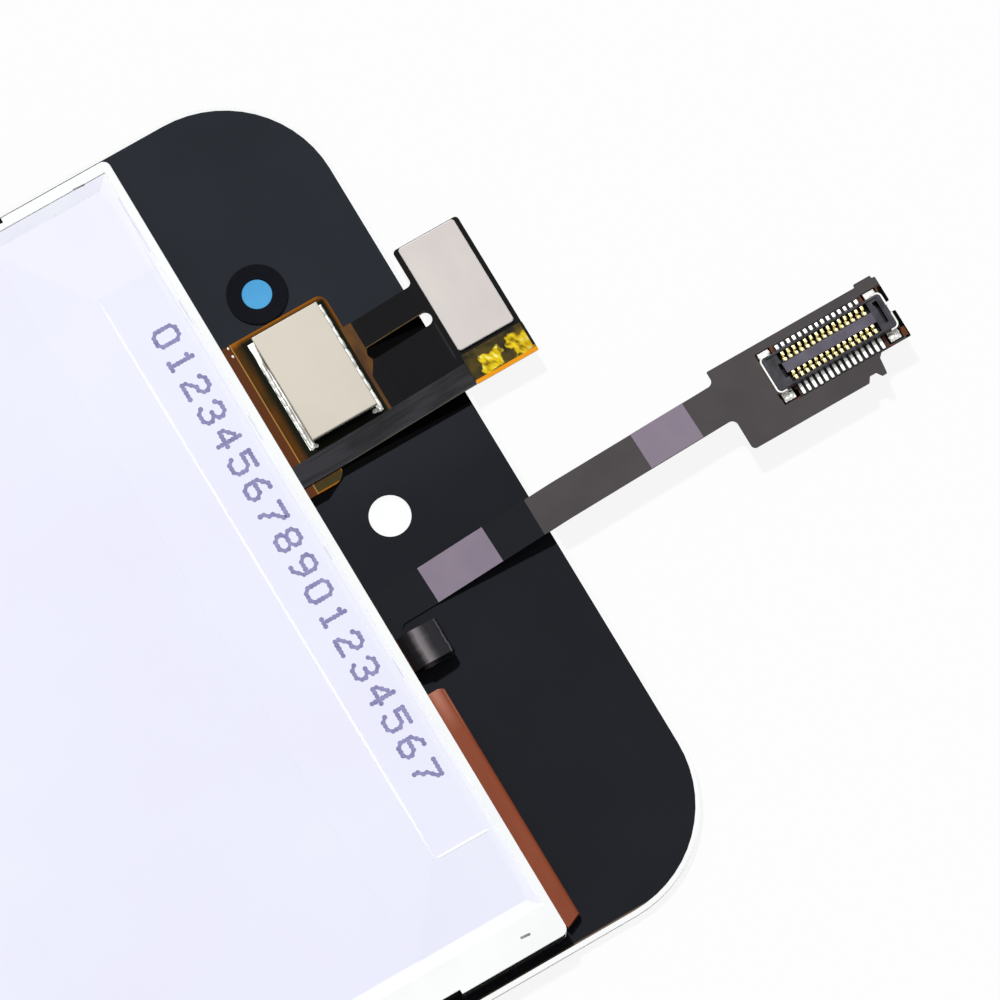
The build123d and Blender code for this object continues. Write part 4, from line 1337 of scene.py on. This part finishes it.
@dataclass
class GlassFront:
    """The cover glass with its print, the sensor parts and the bonded stack behind the window."""

    edge_polish: float = 0.05 * MM
    print_edge: float = 0.01 * MM

    def build(self) -> None:
        """Dresses the glass and what is bonded to it."""
        glass = Clear("cover_glass", WHITE, "fcfefd", index=1.45)
        rounded("cover_glass", glass.make(), self.edge_polish)
        rounded("border_print", BorderInk().make(), self.print_edge, 1)
        dress(Coat("filter_blue", "439bd3", "50a6dc", roughness=0.35, specular=0.1).make(), "sensor_filter")
        foam = Coat("gasket_foam", "121319", "16171d", 0.8, 0.03, grain=0.06 * MM, depth=4 * MICRON)
        dress(foam.make(), "sensor_gasket")
        dress(Clear("bond_clear", "fdfefe", "f7fafa", index=1.47, roughness=0.02).make(), "optical_adhesive")
        dress(Clear("sensor_glass", "f4fbf8", "eef8f4").make(), "touch_sensor_glass")


@dataclass
class PanelModule:
    """The liquid crystal module: moulded frame, reflector, side tape and the layers inside."""

    wall_round: float = 0.05 * MM
    film_round: float = 0.02 * MM
    film_gap: float = 0.06 * MM
    lip_reach: float = 0.80 * MM
    lip_height: float = 0.075 * MM
    lip_inner: float = 3 * MICRON
    lip_sink: float = 20 * MICRON
    plateau_height: float = 0.10 * MM
    plateau: Size = mm(-20.30, 38.07, 20.00, 42.07)
    slope_reach: Size = mm(5.90, 4.00, 5.00, 0.32)
    slope_lap: float = 0.10 * MM
    slope_sink: float = 10 * MICRON
    crease_sink: float = 4 * MICRON
    crease_size: Size = mm(0.18, 0.03)
    creases: tuple[tuple[str, Size, Size], ...] = (
        ("crease_long", mm(-20.70, 38.155), mm(20.05, 38.36)),
        ("crease_short", mm(19.90, 38.40), mm(19.94, 42.10)),
    )
    line_sink: float = 0.006 * MM
    line_size: Size = mm(0.055, 0.014)
    lines: tuple[Size, ...] = (
        mm(-25.41, -21.14, 42.42),
        mm(-17.88, -16.05, 42.38),
        mm(-9.54, -7.57, 42.40),
        mm(-0.14, 0.94, 42.28),
        mm(7.96, 9.37, 42.32),
    )
    scuff_sink: float = 2 * MICRON
    scuff_height: float = 10 * MICRON
    scuffs: tuple[tuple[str, Size, Size, float], ...] = (
        ("rim_scuff_left", mm(-27.10, 40.25), mm(-27.05, 41.10), 0.06 * MM),
        ("rim_scuff_right", mm(26.60, 40.28), mm(26.66, 40.96), 0.17 * MM),
    )

    def __post_init__(self) -> None:
        """Takes the place of the reflector from its packed sheet."""
        self.film = Span.of("reflector_sheet")
        self.level = self.film.high.z - self.plateau_height

    def build(self) -> None:
        """Dresses the module."""
        white = Coat("frame_white", "f2f4f5", "f8faf9", 0.4, 0.3, patch=5 * MM, depth=2 * MICRON)
        rounded("backlight_frame", white.make(), self.wall_round)
        rounded("reflector_sheet", ReflectorFilm().make(), self.film_round)
        black = Coat("side_tape_black", "050506", "09090a", 0.6, 0.02, stretch=(1.0, 6.0, 1.0))
        dress(black.make(), "side_tape_left", "side_tape_right")
        self.build_lip()
        self.build_slope()
        self.build_creases()
        self.build_lines()
        self.build_scuffs()
        self.build_layers()

    def build_lip(self) -> None:
        """Lets the edge of the film lap the narrow gap beside the rim of the frame."""
        low, high = self.film.low, self.film.high
        gap, reach = self.film_gap, self.lip_reach - self.film_gap
        outer = (low.x - gap, low.y - gap, high.x + gap, high.y + gap)
        inner = (low.x + reach, low.y + reach, high.x - reach, high.y - reach)
        loops = [
            (*outer, self.level + self.lip_height),
            (*inner, self.level + self.lip_inner),
            (*outer, self.level - self.lip_sink),
        ]
        finish = Coat("film_lip_white", "ecedfa", "f1f3fc", roughness=0.35, specular=0.3)
        own(ring("film_lip", loops), finish.make())

    def build_slope(self) -> None:
        """Lets the pressed plateau of the film run out softly."""
        top = self.film.high.z
        outward = (-1, -1, 1, 1)
        brow_lap = self.slope_lap / 3
        outer = (edge + sign * reach for edge, sign, reach in zip(self.plateau, outward, self.slope_reach))
        brow = (edge + sign * brow_lap for edge, sign in zip(self.plateau, outward))
        inner = [edge - sign * self.slope_lap for edge, sign in zip(self.plateau, outward)]
        loops = [
            (*outer, self.level + MICRON),
            (*brow, top + MICRON),
            (*inner, top + 2 * MICRON),
            (*inner, self.level - self.slope_sink),
        ]
        own(ring("plateau_slope", loops), ReflectorFilm("slope_film").make())

    def build_creases(self) -> None:
        """Raises the two soft creases that the pressed plateau leaves in the reflector, whiter than the film
        as a painted highlight.
        """
        film = Coat("crease_highlight_white", "fbfbff", WHITE, roughness=0.3, specular=0.4, patch=4 * MM).make()
        for name, start, end in self.creases:
            made = ridge(name, start, end, self.film.high.z - self.crease_sink, *self.crease_size)
            own(made, film)

    def build_lines(self) -> None:
        """Draws the faint broken grey line of painted shade where the film meets the rim at the end of the
        frame.
        """
        shade = Coat("edge_shade_grey", "c6c8d4", "d6d8e4", specular=0.2, patch=1.0 * MM).make()
        for order, (start, end, y) in enumerate(self.lines):
            inward = (self.film.high.y + self.film_gap - y) / self.lip_reach
            foot = self.level - self.line_sink + self.lip_height * (1.0 - inward)
            made = ridge(f"edge_line_{order}", (start, y), (end, y), foot, *self.line_size)
            own(made, shade)

    def build_scuffs(self) -> None:
        """Leaves the two small dark scuffs on the rim of the frame."""
        level = Span.of("backlight_frame").high.z - self.scuff_sink
        dark = Coat("rim_scuff", "77746f", "a19f9c", roughness=0.7, specular=0.1, patch=0.3 * MM).make()
        for name, start, end, width in self.scuffs:
            own(ridge(name, start, end, level, width, self.scuff_height), dark)

    def build_layers(self) -> None:
        """Dresses the cell, the films and the light guide."""
        dark = Coat("polariser_dark", "17191d", "1d2024", roughness=0.18, gloss=0.3)
        dress(dark.make(), "front_polariser", "rear_polariser")
        cell = Coat("cell_glass", "23272b", "2c3135", roughness=0.12, gloss=0.4)
        dress(cell.make(), "colour_filter_glass", "tft_glass")
        chip = Coat("chip_silicon", "4a4d55", "5b5e66", roughness=0.25, metallic=0.4)
        dress(chip.make(), "driver_chip")
        film = Coat("film_pearl", "e9ecf2", "f3f5f9", roughness=0.3, stretch=(1.0, 12.0, 1.0))
        dress(film.make(), "lower_prism_film", "upper_prism_film", "diffuser_film")
        guide = Clear("guide_clear", "f4f8fb", "edf3f8", index=1.49, roughness=0.08)
        dress(guide.make(), "light_guide_plate")
        dress(Coat("lamp_cream", "f2e9c4", "f7f1d8", roughness=0.45).make(), "backlight_lamps")


@dataclass
class SerialPrint:
    """A line of plain digits in ink dots on the back of the module."""

    text: str = "012345678901234567"
    first_x: float = -16.22 * MM
    middle_y: float = 40.60 * MM
    pitch: float = 1.84 * MM
    column: float = 0.25 * MM
    row: float = 0.245 * MM
    middle_cell: tuple[int, int] = (2, 3)
    dot: float = 0.34 * MM
    film: float = 0.012 * MM
    joint: float = 0.25 * MM
    joint_film: float = 0.008 * MM

    def marks(self, sign: str) -> list[tuple[float, float]]:
        """The column and the line of each dot of one digit."""
        rows = GLYPHS[sign].split()
        return [(step, line) for line, row in enumerate(rows) for step, mark in enumerate(row) if mark == "1"]

    def joints(self, sign: str) -> list[tuple[float, float]]:
        """The places halfway between the neighbouring dots of one digit, where the ink has run together."""
        marks = self.marks(sign)
        places = []
        for step, line in marks:
            for right, down in ((1, 0), (0, 1), (1, 1), (-1, 1)):
                beside = {(step + right, line), (step, line + down)}
                straight = right == 0 or down == 0
                if (step + right, line + down) in marks and (straight or not beside & set(marks)):
                    places.append((step + right / 2, line + down / 2))
        return places

    def seats(self, of_sign: Callable[[str], list[tuple[float, float]]]) -> list[Vector]:
        """The points of the whole line.

        Args:
            of_sign: Gives the places in one digit, by column and line.

        Returns:
            The points on the film.
        """
        level = Span.of("reflector_sheet").high.z
        middle_step, middle_line = self.middle_cell
        places = []
        for order, sign in enumerate(self.text):
            for step, line in of_sign(sign):
                x = self.first_x + order * self.pitch + (step - middle_step) * self.column
                places.append(Vector((x, self.middle_y + (middle_line - line) * self.row, level)))
        return places

    def build(self) -> None:
        """Prints the line."""
        ink = Coat("serial_ink", "837fab", "9a97c2", roughness=0.6, specular=0.1, patch=0.5 * MM).make()
        kinds = (
            ("serial_dots", self.marks, self.dot, self.film),
            ("serial_joints", self.joints, self.joint, self.joint_film),
        )
        for name, of_sign, size, film in kinds:
            values = {"Dot": size, "Film": film, "Unevenness": 0.16, "Seed": 7, "Finish": ink}
            grow(name, dot_tree(), self.seats(of_sign), Slot.REFLECTOR, **values)


@dataclass
class PanelTails:
    """The folded tail of the lamp strip and the folded flex of the panel."""

    edge: float = 0.012 * MM

    def build(self) -> None:
        """Dresses both tails."""
        rounded("backlight_flex", RolledFilm().make(), self.edge, 1)
        rounded("panel_flex", CopperFilm().make(), self.edge, 1)


@dataclass
class LongFlex:
    """The long flexible circuit with its stiffener and adhesive pads."""

    edge: float = 0.012 * MM

    def build(self) -> None:
        """Dresses the flex and what is on it."""
        rounded("connector_flex", NeckFilm().make(), self.edge, 1)
        stiff = Coat("stiffener_black", "1b1b1d", "232325", roughness=0.6, specular=0.2)
        dress(stiff.make(), "connector_stiffener")
        pad = Coat("pad_mauve", "857a89", "8d8190", roughness=0.7, specular=0.15, patch=2 * MM)
        dress(pad.make(), "neck_pad_glass", "neck_pad_free")


@dataclass(frozen=True)
class Flank:
    """What one long side of the connector has of its own.

    Its solder on the tails starts and ends at tail, its bare strip ends at window, its solder beads and its
    lands lie inward by their insets, and its beads lie closer by bead_spread.
    """

    side: Side
    tail: Size
    window: float
    bead_inset: float
    land_inset: float
    bead_spread: float


@dataclass
class BoardConnector:
    """The board connector: housing, contacts, solder and nails."""

    housing_edge: float = 0.03 * MM
    nail_edge: float = 0.02 * MM
    pitch: float = 0.40 * MM
    count: int = 15
    spring_x: float = 0.46 * MM
    spring_level: float = 0.53 * MM
    spring_size: Size = mm(0.19, 0.20, 0.13)
    bend_x: float = 0.835 * MM
    bend_level: float = 0.59 * MM
    bend_size: Size = mm(0.24, 0.19, 0.12)
    tail_level: float = 0.06 * MM
    tail_section: Size = mm(0.22, 0.17)
    foot_x: float = 1.52 * MM
    foot_y: float = 3.72 * MM
    bead_level: float = 0.07 * MM
    bead_size: Size = mm(0.36, 0.38, 0.15)
    bead_spots: tuple[Size, ...] = (
        mm(-0.06, -0.20),
        mm(0.10, 0.12),
        mm(0.0, -0.02),
        mm(0.10, -0.16),
        mm(-0.10, 0.20),
    )
    window_start: float = 1.12 * MM
    window_half: float = 3.42 * MM
    land_half: Size = mm(0.36, 0.50)
    land_film: float = 0.008 * MM
    bare_spots: tuple[tuple[str, Size, Size], ...] = (
        ("bare_spot_tip_right", mm(1.56, 4.38), mm(0.30, 0.16)),
        ("bare_spot_tip_left", mm(-1.60, 4.24), mm(0.13, 0.12)),
        ("bare_spot_root_right", mm(1.62, -3.14), mm(0.22, 0.08)),
    )
    flanks: tuple[Flank, ...] = (
        Flank(Side.LEFT, mm(1.29, 1.60), 1.70 * MM, 0.12 * MM, 0.14 * MM, 0.6),
        Flank(Side.RIGHT, mm(1.13, 1.90), 1.95 * MM, 0.0, 0.0, 1.0),
    )

    def __post_init__(self) -> None:
        """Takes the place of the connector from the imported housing."""
        box = Span.of("connector_housing")
        self.middle = Vector((box.middle.x, box.middle.y, box.low.z))

    def row(self, name: str, place: Size, size: Size, slot: Slot, finish: Material) -> None:
        """Sets a row of rounded caps along the contacts.

        Args:
            name: The piece's name.
            place: How far it lies from the middle across the connector, and above the seat.
            size: Length, width and height of a cap.
            slot: The record's slot of the piece.
            finish: The material.
        """
        start = self.middle + Vector((place[0], -(self.count - 1) / 2 * self.pitch, place[1]))
        values = {"Start": tuple(start), "Step": (0.0, self.pitch, 0.0), "Count": self.count, "Size": size}
        grow(name, row_tree(), [], slot, **values, Unevenness=0.07, Seed=11, Finish=finish)

    def patch(self, name: str, spot: Size, half: Size, finish: Material) -> None:
        """Lays a thin patch on the flex.

        Args:
            name: The piece's name.
            spot: Its middle, from the middle of the connector.
            half: Half its size.
            finish: The material.
        """
        x, y, z = self.middle + Vector((*spot, 0.0))
        flat = (x - half[0], y - half[1], x + half[0], y + half[1])
        own(slab(name, flat, z, z + self.land_film), finish)

    def build(self) -> None:
        """Builds and dresses the connector."""
        rounded("connector_housing", HousingPlastic().make(), self.housing_edge)
        plated = PlatedContact().make()
        dress(plated, "contacts_left", "contacts_right")
        solder = Coat("solder_bright", "fbfbf8", "e6e6e1", roughness=0.4, metallic=0.6, patch=0.5 * MM).make()
        for flank in self.flanks:
            word, turn = flank.side.name.lower(), flank.side.value
            start, end = flank.tail
            spring, bend = (turn * self.spring_x, self.spring_level), (turn * self.bend_x, self.bend_level)
            tail = (turn * (end + start) / 2, self.tail_level)
            self.row(f"spring_tips_{word}", spring, self.spring_size, Slot.GOLD, plated)
            self.row(f"contact_bends_{word}", bend, self.bend_size, Slot.GOLD, plated)
            self.row(f"tail_solder_{word}", tail, (end - start, *self.tail_section), Slot.TIN, solder)
        self.build_nails()
        self.build_windows()
        self.build_lands()

    def build_nails(self) -> None:
        """Dresses the nails and sets solder on their feet."""
        tin = Coat("nail_tin", "e0e0dc", "b9b8b2", roughness=0.3, metallic=0.8, patch=0.5 * MM).make()
        solder = Coat("nail_solder_tin", "f4f4f0", "bdbcb5", roughness=0.35, metallic=0.6, patch=0.3 * MM)
        for node in ("nail_root", "nail_tip"):
            rounded(node, tin, self.nail_edge)
        seats = []
        for flank in self.flanks:
            x = flank.side.value * (self.foot_x - flank.bead_inset)
            for y in (-self.foot_y, self.foot_y):
                foot = self.middle + Vector((x, y, self.bead_level))
                seats += [foot + Vector((flank.bead_spread * dx, dy, 0.0)) for dx, dy in self.bead_spots]
        values = {"Size": self.bead_size, "Unevenness": 0.20, "Ripple": 0.02 * MM, "Seed": 3}
        grow("nail_solder", bead_tree(), seats, Slot.TIN, **values, Finish=solder.make())

    def build_windows(self) -> None:
        """Lays the bare strips under the contacts' feet."""
        finish = PadWindow().make()
        for flank in self.flanks:
            spot = (flank.side.value * (self.window_start + flank.window) / 2, 0.0)
            half = ((flank.window - self.window_start) / 2, self.window_half)
            self.patch(f"pad_window_{flank.side.name.lower()}", spot, half, finish)

    def build_lands(self) -> None:
        """Lays dark patches round the nails' feet and the bare copper beside them."""
        gap = Coat("land_dark", "0a0908", "15100c", specular=0.03, patch=0.4 * MM).make()
        bare = Coat("bare_copper", "6e3c16", "4f2a10", roughness=0.4, specular=0.1, patch=0.3 * MM).make()
        for flank in self.flanks:
            x = flank.side.value * (self.foot_x - flank.land_inset)
            for y, word in ((-self.foot_y, "root"), (self.foot_y, "tip")):
                self.patch(f"nail_land_{flank.side.name.lower()}_{word}", (x, y), self.land_half, gap)
        for name, spot, half in self.bare_spots:
            self.patch(name, spot, half, bare)


@dataclass
class TouchFlex:
    """The touch flex with its head: steel plate, test pads, tape and plug."""

    film_edge: float = 0.012 * MM
    head_edge: float = 0.02 * MM
    plate_highlight_rim: float = 0.06 * MM
    foil_stops: Stops = ((0.36, "6f5c12"), (0.56, "f2d21c"))
    foil_patch: float = 0.22 * MM

    def build(self) -> None:
        """Dresses the flex and what its head carries."""
        rounded("touch_flex", BoardFilm().make(), self.film_edge, 1)
        steel = RimmedSteel("plate_steel", "head_plate", "a59f9c", "ada7a3", "dedad7", self.plate_highlight_rim)
        rounded("head_plate", steel.make(), self.head_edge)
        rounded("head_tape", AmberTape().make(), self.head_edge)
        foil = Mottled("pad_foil", self.foil_stops, self.foil_patch, 4.0, self.foil_patch, 40 * MICRON, 0.2)
        dress(foil.make(), "test_pads")
        dress(Coat("plug_black", "1a1a1d", "242428", specular=0.3).make(), "plug_housing")
        dress(Coat("plug_gold", "e6c66a", "d4ad4a", roughness=0.3, metallic=1.0).make(), "plug_contacts")


@dataclass
class ControllerShield:
    """The soldered shield over the touch controller.

    The runs of solder are given as shares of the width of the frame.
    """

    frame_edge: float = 0.02 * MM
    lid_edge: float = 0.025 * MM
    lid_highlight_rim: float = 0.05 * MM
    steel_stops: Stops = ((0.30, "3c3626"), (0.38, "6e6b62"), (0.45, "e6e5de"))
    steel_patch: float = 1.4 * MM
    steel_bump: float = 0.5 * MM
    film_thickness: float = 0.10 * MM
    solder_level: float = 0.09 * MM
    bead_step: float = 0.42 * MM
    front_inset: float = 0.20 * MM
    front_runs: tuple[Size, ...] = ((0.24, 0.38), (0.46, 0.55), (0.64, 0.95))
    back_inset: float = 0.15 * MM
    back_runs: tuple[Size, ...] = (
        (0.06, 0.16),
        (0.27, 0.37),
        (0.47, 0.54),
        (0.66, 0.76),
        (0.87, 0.94),
    )
    front_corner: tuple[Size, ...] = (mm(-0.12, -0.12), mm(-0.08, 0.12))
    back_corner: tuple[Size, ...] = (mm(-0.10, 0.02), mm(-0.16, -0.28))
    bond_y: float = 0.60 * MM
    bond_insets: Size = mm(0.14, 0.72)

    def build(self) -> None:
        """Dresses the shield, and sets solder along its feet."""
        steel = Mottled(
            "soldered_steel",
            self.steel_stops,
            self.steel_patch,
            2.0,
            self.steel_bump,
            6 * MICRON,
            0.35,
            stretch=(2.6, 0.5, 1.0),
        )
        rounded("shield_frame", steel.make(), self.frame_edge)
        lid = RimmedSteel("shield_lid_steel", "shield_lid", "a8a296", "aca69a", "d2cdc3", self.lid_highlight_rim)
        rounded("shield_lid", lid.make(), self.lid_edge)
        dress(Coat("controller_black", "17171a", "202024", specular=0.3).make(), "touch_controller")
        dress(Coat("capacitor_tan", "8b7358", "9c866b").make(), "board_capacitors")
        self.build_solder()

    def side_seats(self, box: Span, lid: Span, level: float) -> list[Vector]:
        """The places of the beads along both soldered sides.

        Args:
            box: The box of the frame.
            lid: The box of the lid.
            level: The height of the beads.

        Returns:
            The places.
        """
        width = box.high.x - box.low.x
        rows = (
            (lid.low.y - self.front_inset, self.front_runs),
            (lid.high.y + self.back_inset, self.back_runs),
        )
        seats = []
        for y, runs in rows:
            for start, end in runs:
                count = max(2, round((end - start) * width / self.bead_step))
                for order in range(count):
                    share = start + (end - start) * order / (count - 1)
                    seats.append(Vector((box.low.x + share * width, y, level)))
        return seats

    def build_solder(self) -> None:
        """Sets uneven solder along both soldered sides of the frame, on its open corners and on the bond."""
        box, lid, board = Span.of("shield_frame"), Span.of("shield_lid"), Span.of("touch_flex")
        level = box.low.z + self.solder_level
        solder = Coat("shield_solder", "dcdcd8", "a3a39c", roughness=0.4, metallic=0.5, patch=0.9 * MM).make()
        corner_seats = [
            Vector((box.high.x + dx, y + dy, level))
            for y, spots in ((lid.low.y, self.front_corner), (lid.high.y, self.back_corner))
            for dx, dy in spots
        ]
        bond_y = Span.of("backlight_frame").high.y + self.bond_y
        bond_level = board.low.z + self.film_thickness
        bond_seats = [Vector((board.low.x + inset, bond_y, bond_level)) for inset in self.bond_insets]
        side_seats = self.side_seats(box, lid, level)
        kinds = (
            ("shield_solder", side_seats, Slot.SHIELD, mm(0.95, 0.27, 0.13), 0.16, 0.012 * MM, 5),
            ("shield_corner_solder", corner_seats, Slot.SHIELD, mm(0.30, 0.36, 0.14), 0.12, 0.02 * MM, 9),
            ("bond_specks", bond_seats, Slot.TOUCH_FLEX, mm(0.20, 0.16, 0.04), 0.25, 0.02 * MM, 2),
        )
        for name, seats, slot, size, uneven, ripple, seed in kinds:
            values = {"Size": size, "Unevenness": uneven, "Ripple": ripple, "Seed": seed}
            grow(name, bead_tree(), seats, slot, **values, Finish=solder)


@dataclass
class GroundStrip:
    """The black strip of conductive fabric beside the shield."""

    edge_round: float = 0.012 * MM

    def build(self) -> None:
        """Dresses the strip."""
        rounded("ground_strip", StripFabric().make(), self.edge_round, 1)


@dataclass
class Studio:
    """Floor, lamp and camera."""

    floor_half: float = 1.2
    floor_gap: float = 0.03 * MM
    floor_depth: float = 1.0 * MM
    floor_shade: Colour = (0.86, 0.86, 0.86, 1.0)
    glow: float = 0.90
    sky: float = 0.22
    sun_power: float = 2.89
    sun_angle: float = math.radians(4.5)
    sun_travel: Size = (0.62, 0.02, -1.0)
    azimuth: float = math.radians(59.279930194)
    elevation: float = math.radians(76.224266109)
    roll: float = math.radians(0.282082580)
    distance: float = 0.5
    target: Size = mm(2.282411588, 53.178792306)
    focal_pixels: float = 8249.443337
    image_pixels: float = 1000.0
    sensor: float = 36.0
    clip: Size = (0.01, 10.0)

    def seen(self, graph: Graph) -> Socket:
        """A share that is 1 for rays that show something: from the camera, or through gloss or glass."""
        path = graph.node("ShaderNodeLightPath", {}).outputs
        return graph.most(path["Is Camera Ray"], path["Is Glossy Ray"], path["Is Transmission Ray"])

    def build_sky(self) -> None:
        """A white world, at full strength only where it is seen."""
        world = bpy.data.worlds.new("soft_room")
        world.use_nodes = True
        graph = Graph(world.node_tree)
        back = graph.tree.nodes["Background"].inputs
        graph.put(back["Color"], WHITE)
        graph.put(back["Strength"], graph.spread(self.seen(graph), self.sky, 1.0))
        bpy.context.scene.world = world

    def build_floor(self) -> None:
        """A plain pale floor that keeps a light shadow."""
        half = self.floor_half
        top = -self.floor_gap
        floor = slab("floor", (-half, -half, half, half), top - self.floor_depth, top)
        material = bpy.data.materials.new("pale_floor")
        material.use_nodes = True
        graph = Graph(material.node_tree)
        shader = graph.tree.nodes["Principled BSDF"]
        graph.put(shader.inputs["Base Color"], self.floor_shade)
        graph.put(shader.inputs["Roughness"], 1.0)
        graph.put(shader.inputs["Specular IOR Level"], 0.0)
        light = graph.node("ShaderNodeEmission", {"Color": WHITE})
        through = graph.node("ShaderNodeLightPath", {}).outputs["Is Transmission Ray"]
        share = graph.most(graph.times(self.seen(graph), self.glow), through)
        both = graph.node("ShaderNodeMixShader", {0: share, 1: shader.outputs[0], 2: light.outputs[0]})
        graph.put(graph.tree.nodes["Material Output"].inputs["Surface"], both.outputs[0])
        floor.data.materials.append(material)

    def build_sun(self) -> None:
        """One soft lamp from the left of the glass."""
        data = bpy.data.lights.new("window_light", "SUN")
        data.energy = self.sun_power
        data.angle = self.sun_angle
        lamp = placed("window_light", data)
        lamp.rotation_mode = "QUATERNION"
        lamp.rotation_quaternion = Vector(self.sun_travel).to_track_quat("-Z", "Y")

    def build_camera(self) -> None:
        """The camera, at the place from which the reference view was taken."""
        level = math.cos(self.elevation)
        sine, cosine = math.sin(self.azimuth), math.cos(self.azimuth)
        look = Vector((-sine * level, cosine * level, -math.sin(self.elevation)))
        right = Vector((cosine, sine, 0.0))
        up = right.cross(look)
        turned_right = right * math.cos(self.roll) + up * math.sin(self.roll)
        turned_up = up * math.cos(self.roll) - right * math.sin(self.roll)
        place = Matrix((turned_right, turned_up, -look)).transposed().to_4x4()
        place.translation = Vector((*self.target, 0.0)) - look * self.distance
        data = bpy.data.cameras.new("bench_camera")
        data.sensor_width = self.sensor
        data.lens = self.focal_pixels * self.sensor / self.image_pixels
        data.clip_start, data.clip_end = self.clip
        camera = placed("bench_camera", data)
        camera.matrix_world = place
        bpy.context.scene.camera = camera

    def build(self) -> None:
        """Sets the room."""
        self.build_sky()
        self.build_floor()
        self.build_sun()
        self.build_camera()
        bpy.context.scene.view_settings.view_transform = "Standard"


def main() -> None:
    """Builds the studio and every sub-assembly."""
    logging.basicConfig(level=logging.INFO, format="%(message)s")
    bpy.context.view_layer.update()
    assemblies = [
        Studio(),
        GlassFront(),
        PanelModule(),
        SerialPrint(),
        PanelTails(),
        LongFlex(),
        BoardConnector(),
        TouchFlex(),
        ControllerShield(),
        GroundStrip(),
    ]
    for assembly in assemblies:
        log.info("building %s", type(assembly).__name__)
        assembly.build()


if __name__ == "__main__":
    main()
